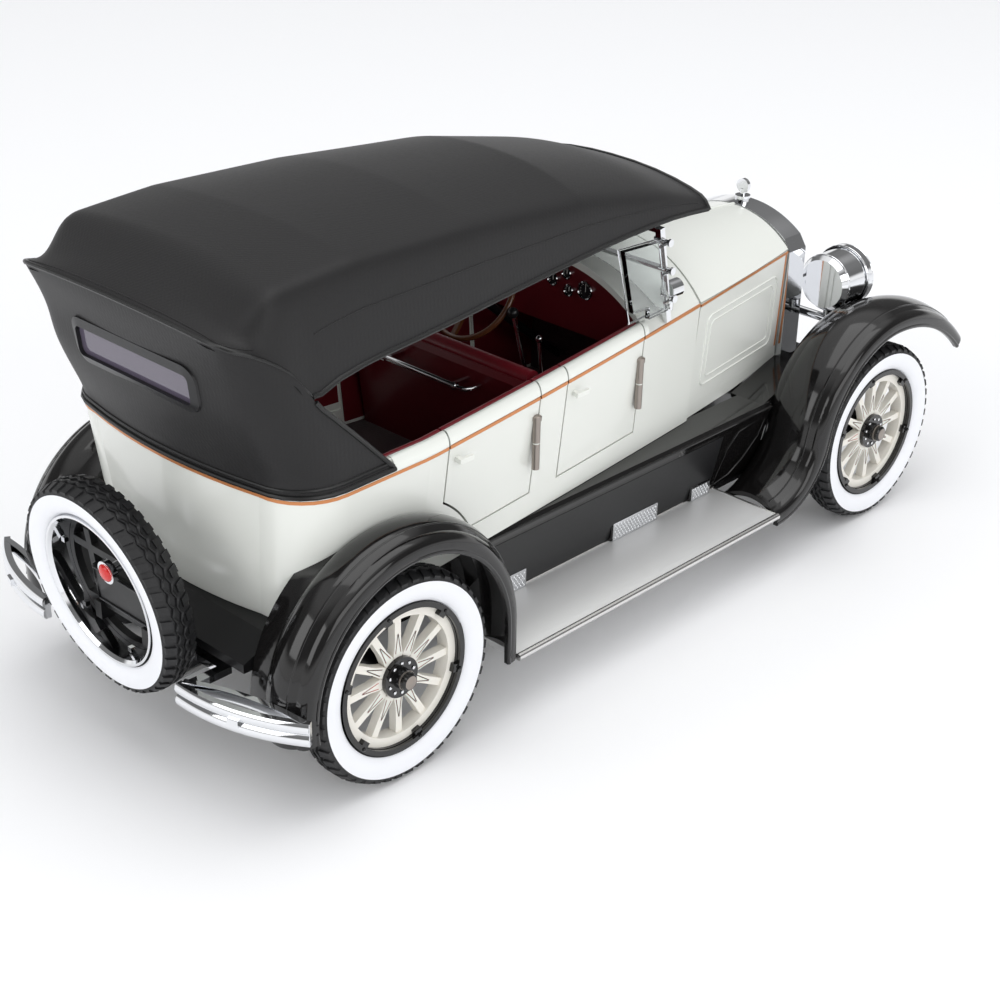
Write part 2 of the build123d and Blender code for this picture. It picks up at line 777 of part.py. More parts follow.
# Running boards between the fenders, each with three upstanding scuff plates
scuff_x = (-30.0, -6.0, 20.0)
scuff_length = 8.0
scuff_height = 2.4
with BuildPart() as running_boards:
    for side in (1, -1):
        middle_y = side * (fender_edge_y + board_inner_y) / 2
        with Locations(((board_x[0] + board_x[1]) / 2, middle_y, board_z - board_thickness / 2)):
            Box(board_x[1] - board_x[0], fender_edge_y - board_inner_y, board_thickness)
        for x in scuff_x:
            with Locations((x, side * (board_inner_y + 2.4), board_z + scuff_height / 2)):
                Box(scuff_length, 0.7, scuff_height)
    add(rear_fenders.part, mode=Mode.SUBTRACT)
    add(front_fenders.part, mode=Mode.SUBTRACT)
write(running_boards, "running_boards")

# Side aprons: a ledge under the body's edge, and a panel down to the running board
with BuildPart() as side_aprons:
    for side in (1, -1):
        with BuildSketch(Plane.YZ.offset(apron_x[0])):
            with BuildLine():
                t = apron_thickness
                Polyline(
                    (side * apron_root_y, floor_z - 0.1),
                    (side * (apron_ledge_y - 0.6), floor_z - 0.1),
                    (side * apron_ledge_y, apron_ledge_z),
                    (side * (apron_ledge_y - 0.4), apron_ledge_z - 1.2),
                    (side * (board_inner_y - 0.05), board_z - board_thickness),
                    (side * (board_inner_y - 0.05 - t), board_z - board_thickness),
                    (side * (apron_ledge_y - 0.5 - t), apron_ledge_z - 1.2),
                    (side * apron_root_y, floor_z - 0.1 - t),
                    (side * apron_root_y, floor_z - 0.1),
                )
            make_face()
        extrude(amount=apron_x[1] - apron_x[0])
        # Catwalk: the ledge carried forward and up, between the bonnet and the front fender
        run = catwalk_x[1] - catwalk_x[0]
        catwalk_plane = Plane(
            origin=(catwalk_x[0], 0, floor_z - 0.1), x_dir=(run, 0, catwalk_rise), z_dir=(-catwalk_rise, 0, run)
        )
        with BuildSketch(catwalk_plane):
            with BuildLine():
                Polyline(
                    (0, side * catwalk_root_y[0]),
                    (run, side * catwalk_root_y[1]),
                    (run, side * (fender_inner_y + 0.5)),
                    (10.0, side * (fender_inner_y + 0.5)),
                    (0, side * (apron_ledge_y - 0.6)),
                    (0, side * catwalk_root_y[0]),
                )
            make_face()
        extrude(amount=-catwalk_thickness)
    for pieces in (running_boards, front_fenders, rear_fenders, frame, radiator_shell):
        add(pieces.part, mode=Mode.SUBTRACT)
write(side_aprons, "side_aprons")

# Folding top: a bowed roof with short valances, and a flared curtain round the tail
roof_rows = [
    # x, half width at the edge, height of the valance's hem, of the edge, of the crown
    (top_front_x, 22.4, 68.9, 71.6, 74.6),
    (12.0, 23.4, 69.1, 74.2, 78.4),
    (-10.0, 24.6, 69.6, 78.2, 83.2),
    (-36.0, 25.8, 69.8, 80.2, 83.8),
    (-60.0, 26.6, 69.6, 80.4, 83.2),
    (-75.0, 26.4, 69.4, 79.2, 81.6),
    (-84.6, 23.6, 73.6, 76.0, 76.6),
]
with BuildPart() as roof:
    for x, half, hem_z, edge_z, crown_z in roof_rows:
        t = top_thickness
        with BuildSketch(Plane.YZ.offset(x)):
            with BuildLine():
                Line((-half, hem_z), (1.8 - half, edge_z))
                ThreePointArc((1.8 - half, edge_z), (0, crown_z), (half - 1.8, edge_z))
                Line((half - 1.8, edge_z), (half, hem_z))
                Line((half, hem_z), (half - t, hem_z))
                Line((half - t, hem_z), (half - 1.8 - t, edge_z - t))
                ThreePointArc((half - 1.8 - t, edge_z - t), (0, crown_z - t), (t + 1.8 - half, edge_z - t))
                Line((t + 1.8 - half, edge_z - t), (t - half, hem_z))
                Line((t - half, hem_z), (-half, hem_z))
            make_face()
    loft(ruled=True)
curtain_rows = [
    # height, half width, rear x at the corners, bulge at the middle, corner radius
    (belt_z + 0.9, 28.1, -75.6, 1.7, 9.0),
    (61.7, 28.0, -80.4, 1.0, 9.0),
    (67.5, 27.4, -81.2, 0.9, 9.0),
    (76.2, 26.0, -84.2, 0.6, 9.0),
]
curtain_front_x = -50.0


def curtain_outline(half, rear, bulge, corner):
    """Plan outline of the curtain: a band open at the front."""
    t = top_thickness
    for inset in (0, t):
        w, r, c = half - inset, rear + inset, corner - inset
        b = c * (1 - cos(radians(45)))
        for side in (1, -1):
            Line((curtain_front_x, side * w), (r + c, side * w))
            ThreePointArc((r + c, side * w), (r + b, side * (w - b)), (r, side * (w - c)))
        ThreePointArc((r, w - c), (r - bulge, 0), (r, c - w))
    for side in (1, -1):
        Line((curtain_front_x, side * half), (curtain_front_x, side * (half - t)))


with BuildPart() as curtain:
    for z, half, rear, bulge, corner in curtain_rows:
        with BuildSketch(Plane.XY.offset(z)):
            with BuildLine():
                curtain_outline(half, rear, bulge, corner)
            make_face()
    loft(ruled=True)

# The curtain's front edge slopes up and back from the body to the roof's edge
curtain_tip = (-56.6, 49.0)
curtain_head = (-72.9, 66.5)
window_half = 14.0
window_x = -80.6
window_rake = 6.4
window_z = (61.7, 67.5)
with BuildPart() as folding_top:
    add(curtain.part)
    with BuildSketch(Plane.XZ.offset(-50)):
        with BuildLine():
            Polyline(
                (curtain_tip[0], belt_z - 8),
                curtain_tip,
                curtain_head,
                (curtain_head[0] + 1.5, 90),
                (-40, 90),
                (-40, belt_z - 8),
                (curtain_tip[0], belt_z - 8),
            )
        make_face()
    extrude(amount=100, mode=Mode.SUBTRACT)
    add(roof.part)
    with Locations((window_x, 0, (window_z[0] + window_z[1]) / 2)):
        Box(16, 2 * window_half, window_z[1] - window_z[0], mode=Mode.SUBTRACT)
    add(shell_outer.part, mode=Mode.SUBTRACT)
write(folding_top, "folding_top")

# Rear window: a frame and pane held in the curtain's opening
with BuildPart() as rear_window:
    window_plane = Plane(
        origin=(window_x, 0, (window_z[0] + window_z[1]) / 2),
        x_dir=(0, 1, 0),
        z_dir=(-cos(radians(window_rake)), 0, -sin(radians(window_rake))),
    )
    with BuildSketch(window_plane):
        RectangleRounded(2 * window_half - 0.2, window_z[1] - window_z[0] - 0.1, 1.2)
    extrude(amount=0.7)
write(rear_window, "rear_window")

# Windscreen: two stanchions leaning back, three cross bars and two panes
screen_foot = (14.8, 53.0)
screen_head = (11.8, 68.6)
screen_half = 21.0
screen_lean = atan2(screen_foot[0] - screen_head[0], screen_head[1] - screen_foot[1])
screen_height = sqrt((screen_foot[0] - screen_head[0]) ** 2 + (screen_head[1] - screen_foot[1]) ** 2)
screen_plane = Plane(
    origin=(screen_foot[0], 0, screen_foot[1]),
    x_dir=(0, 1, 0),
    z_dir=(cos(screen_lean), 0, sin(screen_lean)),
)
divider = 0.52 * screen_height
pane_thickness = 0.5
with BuildPart() as windscreen_frame:
    with BuildSketch(screen_plane):
        for side in (1, -1):
            with Locations((side * screen_half, (screen_height - 2.2) / 2)):
                Rectangle(1.2, screen_height + 2.2)
        with Locations((0, screen_height - 0.4)):
            Rectangle(2 * screen_half, 0.8)
        with Locations((0, divider)):
            Rectangle(2 * screen_half, 0.6)
    extrude(amount=0.6, both=True)
    add(cowl_block.part, mode=Mode.SUBTRACT)
    add(shell_outer.part, mode=Mode.SUBTRACT)
write(windscreen_frame, "windscreen_frame")

with BuildPart() as windscreen_glass:
    with BuildSketch(screen_plane):
        with Locations((0, (screen_height - 0.8 + divider + 0.3) / 2)):
            Rectangle(2 * screen_half - 1.2, screen_height - 0.8 - divider - 0.3)
        with Locations((0, (divider - 0.3) / 2)):
            Rectangle(2 * screen_half - 1.2, divider - 0.3)
    extrude(amount=pane_thickness / 2, both=True)
    add(cowl_block.part, mode=Mode.SUBTRACT)
write(windscreen_glass, "windscreen_glass")

# Wind wings: a clear plate outboard of each stanchion, on two clamps
wing_thickness = 1.0
wing_y = screen_half + 1.2
with BuildPart() as wind_wings:
    for side in (1, -1):
        with BuildSketch(Plane.XZ.offset(-side * wing_y)):
            with BuildLine():
                Polyline(
                    (screen_head[0] - 1.6, screen_head[1] - 1.5),
                    (0.2, screen_head[1] - 1.0),
                    (4.0, belt_z + 3.6),
                    (screen_foot[0] - 1.6, belt_z + 4.2),
                    (screen_head[0] - 1.6, screen_head[1] - 1.5),
                )
            make_face()
        extrude(amount=-side * wing_thickness)
    add(doors_only.part, mode=Mode.SUBTRACT)
write(wind_wings, "wind_wings")

# Dash, seats and the controls inside
dash_x = cowl_rear_x + 1.6
dash_thickness = 1.2
with BuildPart() as dash:
    half = half_at_belt(dash_x) - body_wall - 0.1
    with BuildSketch(Plane.YZ.offset(dash_x)):
        with BuildLine():
            ThreePointArc((half, belt_z + 0.1), (0, cowl_crown[1] - 1.6), (-half, belt_z + 0.1))
            Line((-half, belt_z + 0.1), (-half, 45.0))
            Line((-half, 45.0), (half, 45.0))
            Line((half, 45.0), (half, belt_z + 0.1))
        make_face()
    extrude(amount=dash_thickness)
    add(cowl.part, mode=Mode.SUBTRACT)
write(dash, "dash")

seat_floor = floor_z + floor_thickness + 0.05
seat_rows = [
    # name, cushion front x, back front x, back rear x at the top, half width, cushion top, back top
    ("front_seat", -2.0, -15.0, -21.0, 22.4, 37.5, 50.4),
    ("rear_seat", -42.0, -58.0, -68.0, 24.0, 38.5, 51.0),
]
for name, front_x, back_x, rear_x, half, cushion_z, top_z in seat_rows:
    with BuildPart() as seat:
        with BuildSketch(Plane.XZ.offset(-half)):
            with BuildLine():
                Polyline(
                    (front_x, seat_floor),
                    (front_x, cushion_z),
                    (back_x, cushion_z - 1.0),
                    (rear_x + 4.4, top_z),
                    (rear_x, top_z),
                    (rear_x + 2.6, seat_floor),
                    (front_x, seat_floor),
                )
            make_face()
        extrude(amount=2 * half)
        fillet(seat.edges().filter_by(Axis.Y).sort_by(Axis.Z)[-4:], 0.9)
        add(cabin_space.part, mode=Mode.INTERSECT)
    write(seat, name)

# Steering wheel on its raked column, on the left-hand side
column_rake = 38.0
steering_centre = (-1.0, 10.5, 51.4)
steering_radius = 8.6
steering_rim = 0.55
column_length = 32.0
column_radius = 0.8
steering_plane = Plane(
    origin=steering_centre,
    x_dir=(0, 1, 0),
    z_dir=(-cos(radians(column_rake)), 0, sin(radians(column_rake))),
)
with BuildPart() as steering_wheel:
    with BuildSketch(Plane(origin=steering_plane.origin, x_dir=steering_plane.x_dir, z_dir=steering_plane.y_dir)):
        with Locations((steering_radius, 0)):
            Circle(steering_rim)
    revolve(axis=Axis(steering_plane.origin, steering_plane.z_dir))
    with BuildSketch(steering_plane.offset(-0.5)):
        Circle(1.3)
        for turn in (90, 210, 330):
            with Locations(Location((0, 0), turn)):
                with Locations((steering_radius / 2, 0)):
                    Rectangle(steering_radius - 0.4, 0.9)
    extrude(amount=0.8)
    with BuildSketch(steering_plane.offset(-3.0)):
        Circle(column_radius - running_clearance - 0.35)
    extrude(amount=3.0)
write(steering_wheel, "steering_wheel")

with BuildPart() as steering_column:
    with BuildSketch(steering_plane.offset(-0.9)):
        Circle(column_radius)
        Circle(column_radius - 0.35, mode=Mode.SUBTRACT)
    extrude(amount=-11.1)
    with BuildSketch(steering_plane.offset(-12.0)):
        Circle(column_radius)
    extrude(amount=-(column_length - 12.0))
    add(shell.part, mode=Mode.SUBTRACT)
write(steering_column, "steering_column")

# Gear lever and hand brake, standing on the floor between the front seats' feet
lever_rows = [
    # foot x, foot y, knob x, knob z, knob radius
    (5.0, 0.0, -1.7, 50.9, 0.9),
    (4.0, -3.4, 1.6, 46.0, 0.6),
]
with BuildPart() as levers:
    for foot_x, y, knob_x, knob_z, knob_radius in lever_rows:
        rise = knob_z - seat_floor
        length = sqrt((knob_x - foot_x) ** 2 + rise**2)
        lever_plane = Plane(
            origin=(foot_x, y, seat_floor), x_dir=(0, 1, 0), z_dir=(knob_x - foot_x, 0, rise)
        )
        with BuildSketch(lever_plane):
            Circle(0.4)
        extrude(amount=length)
        with Locations((knob_x, y, knob_z)):
            Sphere(knob_radius)
        with Locations((foot_x, y, seat_floor + 0.5)):
            Box(3.0, 2.0, 1.0)
write(levers, "levers")

# Robe rail on the back of the front seat
robe_rail_z = 46.5
robe_rail_x = -24.5
robe_seat_x = -20.8
robe_rail_half = 9.0
with BuildPart() as robe_rail:
    with BuildSketch(Plane.XZ.offset(-robe_rail_half)):
        with Locations((robe_rail_x, robe_rail_z)):
            Circle(0.5)
    extrude(amount=2 * robe_rail_half)
    for side in (1, -1):
        with Locations(((robe_rail_x + robe_seat_x) / 2, side * (robe_rail_half - 1), robe_rail_z)):
            Box(robe_seat_x - robe_rail_x, 0.8, 0.8)
write(robe_rail, "robe_rail")



def lens_arc(x, radius, bulge):
    """Half profile of a round lens, from its rim to its axis."""
    sphere = (radius**2 + bulge**2) / (2 * bulge)
    half_turn = atan2(radius, sphere - bulge) / 2
    middle = (x + bulge - sphere * (1 - cos(half_turn)), sphere * sin(half_turn))
    return ThreePointArc((x, radius), middle, (x + bulge, 0))


# Headlamps on a cross bar, each with a short stay to the radiator
lens_bulge = 1.1
lamp_x = (66.8, 75.8)
lamp_y = 18.4
lamp_z = 43.6
lamp_radius = 6.0
bar_x = 70.0
bar_z = 35.6
bar_radius = 0.9
with BuildPart() as headlamps:
    for side in (1, -1):
        lamp_plane = Plane(origin=(0, side * lamp_y, lamp_z), x_dir=(1, 0, 0), z_dir=(0, -1, 0))
        with BuildSketch(lamp_plane):
            with BuildLine():
                Polyline(
                    (lamp_x[0], 0),
                    (lamp_x[0], lamp_radius - 1.2),
                    (lamp_x[0] + 1.0, lamp_radius - 0.5),
                    (lamp_x[1] - 1.8, lamp_radius - 0.3),
                    (lamp_x[1] - 1.6, lamp_radius),
                    (lamp_x[1] - 0.3, lamp_radius),
                    (lamp_x[1], lamp_radius - 0.6),
                )
                lens_arc(lamp_x[1], lamp_radius - 0.6, lens_bulge)
                Line((lamp_x[1] + lens_bulge, 0), (lamp_x[0], 0))
            make_face()
        revolve(axis=Axis((0, side * lamp_y, lamp_z), (1, 0, 0)))
        with Locations((bar_x, side * lamp_y, (bar_z + lamp_z - lamp_radius) / 2)):
            Cylinder(0.9, lamp_z - lamp_radius - bar_z + 1.4)
        with Locations(((radiator_x[1] + lamp_x[0]) / 2, side * (radiator_half - 0.5), lamp_z)):
            Box(lamp_x[0] - radiator_x[1] + 3.0, 1.0, 1.0)
    with BuildSketch(Plane.XZ.offset(-fender_inner_y)):
        with Locations((bar_x, bar_z)):
            Circle(bar_radius)
    extrude(amount=2 * fender_inner_y)
    add(radiator_shell.part, mode=Mode.SUBTRACT)
write(headlamps, "headlamps")

# Cowl lamps: small drums on stalks, one on each side of the cowl
cowl_lamp_x = 18.1
cowl_lamp_y = half_at_belt(cowl_lamp_x) - 1.4
cowl_lamp_z = 55.6
with BuildPart() as cowl_lamps:
    for side in (1, -1):
        with Locations(Location((cowl_lamp_x, side * cowl_lamp_y, cowl_lamp_z), (0, 90, 0))):
            Cylinder(1.7, 3.0)
        with Locations((cowl_lamp_x, side * cowl_lamp_y, cowl_lamp_z - 2.2)):
            Cylinder(0.5, 3.4)
    add(cowl_block.part, mode=Mode.SUBTRACT)
write(cowl_lamps, "cowl_lamps")

# Fuel tank and rear apron, between the frame's ends and the body's tail
with BuildPart() as rear_apron:
    with BuildSketch(Plane.XZ.offset(-rear_fender_inner_y + 0.2)):
        with BuildLine():
            Polyline(
                (tail_x[0] + 6.0, rail_z[1] + 0.1),
                (tail_x[0] + 6.0, floor_z - 0.1),
                (tail_x[0] - tail_bulge - 1.0, floor_z - 0.1),
                (rail_x[0] + 1.0, rail_z[1] + 1.6),
                (rail_x[0] + 1.0, rail_z[1] + 0.1),
                (tail_x[0] + 6.0, rail_z[1] + 0.1),
            )
        make_face()
    extrude(amount=2 * rear_fender_inner_y - 0.4)
write(rear_apron, "rear_apron")

# Bumperettes: a curved face bar, an inner bow and an arm to the frame, on each side
bar_low_z = 18.0
bar_height = 3.8
bow_low_z = 20.4
bow_height = 1.4
# Plan of the bar and the bow at their outer end, middle and inner end: front and rear edge
bar_plan = [((-82.7, 38.5), (-83.5, 39.0)), ((-87.7, 28.3), (-88.6, 28.6)), ((-89.3, 17.0), (-90.2, 17.1))]
bow_plan = [((-83.4, 38.2), (-84.1, 38.0)), ((-84.9, 26.4), (-85.7, 27.0)), ((-88.9, 17.2), (-89.6, 17.6))]
arm_y = 18.3
arm_x = (-89.0, -81.6)
arm_width = 1.6
arm_height = 1.2
arm_z = bow_low_z + bow_height / 2
with BuildPart() as bumperettes:
    for side in (1, -1):
        for plan, low_z, height in (
            (bar_plan, bar_low_z, bar_height),
            (bow_plan, bow_low_z, bow_height),
        ):
            front, rear = [[(row[edge][0], side * row[edge][1]) for row in plan] for edge in (0, 1)]
            with BuildSketch(Plane.XY.offset(low_z)):
                with BuildLine():
                    ThreePointArc(*rear)
                    Line(rear[2], front[2])
                    ThreePointArc(*reversed(front))
                    Line(front[0], rear[0])
                make_face()
            extrude(amount=height)
        with Locations(((arm_x[0] + arm_x[1]) / 2, side * arm_y, arm_z)):
            Box(arm_x[1] - arm_x[0], arm_width, arm_height)
        cross_length = arm_y + arm_width / 2 - rail_y
        with Locations((arm_x[1] - arm_width / 2, side * (rail_y + cross_length / 2), arm_z)):
            Box(arm_width, cross_length, arm_height)
    add(frame.part, mode=Mode.SUBTRACT)
write(bumperettes, "bumperettes")

# Spare wheel: a tyre and its bare rim on a carrier, leaning with its top to the rear
spare_place = Location((spare_x, 0, spare_z), (0, 0, 90)) * Location((0, 0, 0), (spare_tilt, 0, 0))
with BuildPart() as spare_tyre:
    with Locations(spare_place):
        add(tyre_form.part)
write(spare_tyre, "spare_tyre")

with BuildPart() as spare_rim_form:
    with BuildSketch(Plane.YZ):
        with BuildLine():
            Polyline(
                (-1.7, rim_radius),
                (-1.7, rim_radius - 0.8),
                (1.9, rim_radius - 0.8),
                (2.4, rim_radius - 0.4),
                (2.4, rim_radius),
                (-1.7, rim_radius),
            )
        make_face()
    revolve(axis=Axis.Y)
with BuildPart() as spare_rim:
    with Locations(spare_place):
        add(spare_rim_form.part)
write(spare_rim, "spare_rim")

with BuildPart() as spare_carrier_form:
    carrier_radius = rim_radius - 0.85
    with BuildSketch(Plane.XZ.offset(1.4)):
        Circle(carrier_radius)
        Circle(carrier_radius - 1.0, mode=Mode.SUBTRACT)
        for height, half_length in ((3.6, 10.2), (-6.4, 9.2)):
            with Locations((0, height)):
                Rectangle(2 * half_length, 1.4)
        for across in (6.0, -6.0):
            with Locations((across, -1.2)):
                Rectangle(1.4, 16.4)
    extrude(amount=1.2)
    with Locations((-2.5, -1.0, -1.8)):
        Box(15.0, 0.8, 6.4)
with BuildPart() as spare_carrier:
    with Locations(spare_place):
        add(spare_carrier_form.part)
    for across in (6.0, -6.0):
        with Locations((-84.6, across, 23.4)):
            Box(6.0, 1.6, 3.0)
    add(frame.part, mode=Mode.SUBTRACT)
    add(rear_apron.part, mode=Mode.SUBTRACT)
write(spare_carrier, "spare_carrier")

with BuildPart() as tail_lamp_form:
    with BuildSketch(Plane(origin=(0, 0, 0), x_dir=(0, 1, 0), z_dir=(1, 0, 0))):
        with BuildLine():
            Polyline((-1.4, 0), (-1.4, 0.9), (0, 0.9), (0.4, 1.9), (1.4, 1.9), (1.4, 1.5))
            lens_arc(1.4, 1.5, 0.5)
            Line((1.9, 0), (-1.4, 0))
        make_face()
    revolve(axis=Axis.Y)
with BuildPart() as tail_lamp:
    with Locations(spare_place * Location((-2.0, 0.0, 3.8))):
        add(tail_lamp_form.part)
write(tail_lamp, "tail_lamp")
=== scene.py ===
import json
from contextlib import contextmanager
from math import atan2, cos, hypot, pi, radians, sin, sqrt

import bmesh
import bpy
from mathutils import Matrix, Vector
from mathutils.bvhtree import BVHTree


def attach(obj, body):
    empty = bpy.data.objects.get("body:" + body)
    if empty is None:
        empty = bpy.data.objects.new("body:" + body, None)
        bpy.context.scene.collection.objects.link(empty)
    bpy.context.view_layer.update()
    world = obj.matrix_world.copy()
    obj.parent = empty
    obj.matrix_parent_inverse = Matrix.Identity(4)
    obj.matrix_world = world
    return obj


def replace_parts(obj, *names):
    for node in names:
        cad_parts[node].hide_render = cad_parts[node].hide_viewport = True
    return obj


# Looks of a die-cast 1920s touring car at 1:24. Lengths are millimetres, apart from the camera and the lamps,
# in the frame of the solids: +X forward, +Y the car's left, +Z up.

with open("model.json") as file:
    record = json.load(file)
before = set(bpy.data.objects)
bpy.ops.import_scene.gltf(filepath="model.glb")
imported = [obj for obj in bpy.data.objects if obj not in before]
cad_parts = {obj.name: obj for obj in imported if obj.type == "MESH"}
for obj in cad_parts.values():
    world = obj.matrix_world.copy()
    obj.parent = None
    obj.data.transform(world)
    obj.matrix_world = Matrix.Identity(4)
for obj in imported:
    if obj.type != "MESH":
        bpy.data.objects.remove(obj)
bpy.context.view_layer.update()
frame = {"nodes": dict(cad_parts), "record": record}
nodes = frame["nodes"]
MM = 0.001
both = (("left", 1), ("right", -1))

# Sizes that follow the solids
wheelbase = 127.0
front_axle_x = 65.6
rear_axle_x = front_axle_x - wheelbase
wheel_y = 33.0
tyre_radius = 17.67
spoke_count = 12
belt_z = 49.9
belt_slope = 0.0153
floor_z = 27.0
floor_thickness = 1.3
body_wall = 1.7
seam_x = 26.6
body_middle_x = -9.7
quarter_x = -50.0
seam_half = (18.3, 19.5)
middle_half = (22.3, 24.6)
quarter_half = (26.3, 29.2)
tail_x = -75.8
tail_bulge = 2.0
tail_corner = 9.0
fender_edge_y = 36.4
front_arch = (68.0, 17.6, 22.5)
front_arch_nose = (92.1, 30.0)
rear_arch = (-59.7, 18.0, 21.65)
board_z = 12.06
board_x = (-37.4, 32.5)
board_inner_y = 20.9
apron_ledge = (24.3, 26.0)
front_door_x = (-15.3, 8.0)
rear_door_x = (-45.9, -22.5)
spare_x = -89.0
spare_z = 30.8
spare_tilt = -7.1


# Small helpers


def evenly(start, end, steps):
    """Evenly spaced values, both ends included."""
    return [start + (end - start) * k / steps for k in range(steps + 1)]


def sided(points, side):
    """Points of the left side, turned over to the right where side is -1."""
    return [(x, side * y, z) for x, y, z in points]


def belt_at(x):
    """Height of the belt line at x."""
    return belt_z + belt_slope * x


def circle_centre(a, b, c):
    """Centre of the circle through three points."""
    (x1, y1), (x2, y2), (x3, y3) = a, b, c
    area = 2 * (x1 * (y2 - y3) + x2 * (y3 - y1) + x3 * (y1 - y2))
    s1, s2, s3 = x1 * x1 + y1 * y1, x2 * x2 + y2 * y2, x3 * x3 + y3 * y3
    return ((s1 * (y2 - y3) + s2 * (y3 - y1) + s3 * (y1 - y2)) / area,
            (s1 * (x3 - x2) + s2 * (x1 - x3) + s3 * (x2 - x1)) / area)


def half_at(x, level):
    """Half width of the shell at x, at level 0, the floor, or 1, the belt; even behind the quarter."""
    x = max(x, quarter_x)
    y1 = seam_half[level]
    cx, cy = circle_centre((seam_x, y1), (body_middle_x, middle_half[level]),
                           (quarter_x, quarter_half[level]))
    return cy + sqrt((seam_x - cx) ** 2 + (y1 - cy) ** 2 - (x - cx) ** 2)


def lining_at(x, z):
    """Half width of the shell's inner face, a little inside it, for trim panels."""
    foot_z = floor_z + floor_thickness
    share = (z - foot_z) / (belt_at(x) - foot_z)
    return half_at(x, 0) + share * (half_at(x, 1) - half_at(x, 0)) - body_wall - 0.06


def tail_plan(inset, steps=8):
    """Points round the tail at the belt, from the left quarter to the right."""
    half, rear, corner = quarter_half[1] - inset, tail_x + inset, tail_corner - inset
    span = half - corner
    turns = evenly(0, pi / 2, steps)
    points = [(rear + corner - corner * sin(a), span + corner * cos(a)) for a in turns]
    for y in evenly(span, -span, steps)[1:-1]:
        points.append((rear - tail_bulge * (1 - (y / span) ** 2), y))
    return points + [(rear + corner - corner * cos(a), -span - corner * sin(a)) for a in turns]


def new_object(name, mesh):
    """A mesh object at the origin, in the scene."""
    obj = bpy.data.objects.new(name, mesh)
    bpy.context.scene.collection.objects.link(obj)
    return obj


@contextmanager
def editing(mesh, *sources):
    """Edit a mesh, starting from itself or from the sources, and write it back."""
    edit = bmesh.new()
    for source in sources or (mesh,):
        edit.from_mesh(source)
    yield edit
    edit.to_mesh(mesh)
    edit.free()


def mesh_from(name, verts, faces):
    """A mesh from points in millimetres."""
    mesh = bpy.data.meshes.new(name)
    mesh.from_pydata([tuple(MM * c for c in v) for v in verts], [], faces)
    mesh.update()
    return mesh


def tidy_mesh(mesh):
    """Merge doubles and point the faces outwards."""
    with editing(mesh) as edit:
        bmesh.ops.remove_doubles(edit, verts=edit.verts, dist=1e-6)
        bmesh.ops.recalc_face_normals(edit, faces=edit.faces)


def apply_modifiers(obj):
    """Turn the evaluated result into a plain mesh and drop the modifiers."""
    graph = bpy.context.evaluated_depsgraph_get()
    mesh = bpy.data.meshes.new_from_object(obj.evaluated_get(graph))
    obj.modifiers.clear()
    old = obj.data
    obj.data = mesh
    bpy.data.meshes.remove(old)


def finish_piece(obj, finish, body="car", angle=35.0):
    """Finish, smooth shading with sharp edges over the angle, and the body that the piece moves with."""
    if finish is not None:
        obj.data.materials.clear()
        obj.data.materials.append(finish)
    for polygon in obj.data.polygons:
        polygon.use_smooth = True
    with editing(obj.data) as edit:
        for edge in edit.edges:
            if len(edge.link_faces) == 2 and edge.calc_face_angle(0) > radians(angle):
                edge.smooth = False
    if body:
        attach(obj, body)
    return obj


def grid_mesh(name, rows, closed_rows=False, closed_columns=False):
    """A mesh through rows of points: each row is a list of (x, y, z) in millimetres."""
    count = len(rows[0])
    faces = []
    for i in range(len(rows) - (not closed_rows)):
        below = (i + 1) % len(rows) * count
        for j in range(count - (not closed_columns)):
            after = (j + 1) % count
            faces.append((i * count + j, i * count + after, below + after, below + j))
    return mesh_from(name, [p for row in rows for p in row], faces)


def lofted(name, rings, finish, body="car", closed=False, angle=35.0):
    """A closed form through rings of points; its ends are capped unless it closes on itself."""
    mesh = grid_mesh(name, rings, closed_rows=closed, closed_columns=True)
    count = len(rings[0])
    with editing(mesh) as edit:
        if not closed:
            edit.verts.ensure_lookup_table()
            for start in (0, (len(rings) - 1) * count):
                edit.faces.new([edit.verts[start + j] for j in range(count)])
        bmesh.ops.recalc_face_normals(edit, faces=edit.faces)
    return finish_piece(new_object(name, mesh), finish, body, angle)


def swept(name, stations, section, side, finish, body="car"):
    """A form along X on one side of the car; section gives its (y, z) points at x."""
    return lofted(name, [[(x, side * y, z) for y, z in section(x)] for x in stations], finish, body)


def tube(name, path, radius, finish, body="car", closed=False, sides=10, flat=1.0):
    """A round bar along points, with flat ends; flat squeezes its height."""
    rings = []
    points = [Vector(p) for p in path]
    last = len(points) - 1
    for k, point in enumerate(points):
        before = points[k - 1] if closed or k > 0 else point
        after = points[(k + 1) % len(points)] if closed or k < last else point
        along = (after - before).normalized()
        across = along.cross(Vector((0, 0, 1)))
        if across.length < 1e-3:
            across = along.cross(Vector((1, 0, 0)))
        across.normalize()
        up = across.cross(along)
        turns = [2 * pi * j / sides for j in range(sides)]
        rings.append([tuple(point + across * radius * cos(a) + up * radius * flat * sin(a)) for a in turns])
    return lofted(name, rings, finish, body, closed)


def turned(name, profile, place, finish, body="car", steps=48, angle=35.0):
    """A turned piece: profile is (along, radius) about the place matrix's Z axis."""
    turns = [2 * pi * j / steps for j in range(steps)]
    rows = [[tuple(place @ Vector((radius * cos(a), radius * sin(a), along))) for a in turns]
            for along, radius in profile]
    obj = new_object(name, grid_mesh(name, rows, closed_columns=True))
    tidy_mesh(obj.data)
    return finish_piece(obj, finish, body, angle)


def axis_place(origin, direction):
    """Matrix with its Z along the direction, at the origin."""
    return Matrix.Translation(Vector(origin)) @ Vector(direction).to_track_quat("Z", "Y").to_matrix().to_4x4()


# Shader helpers


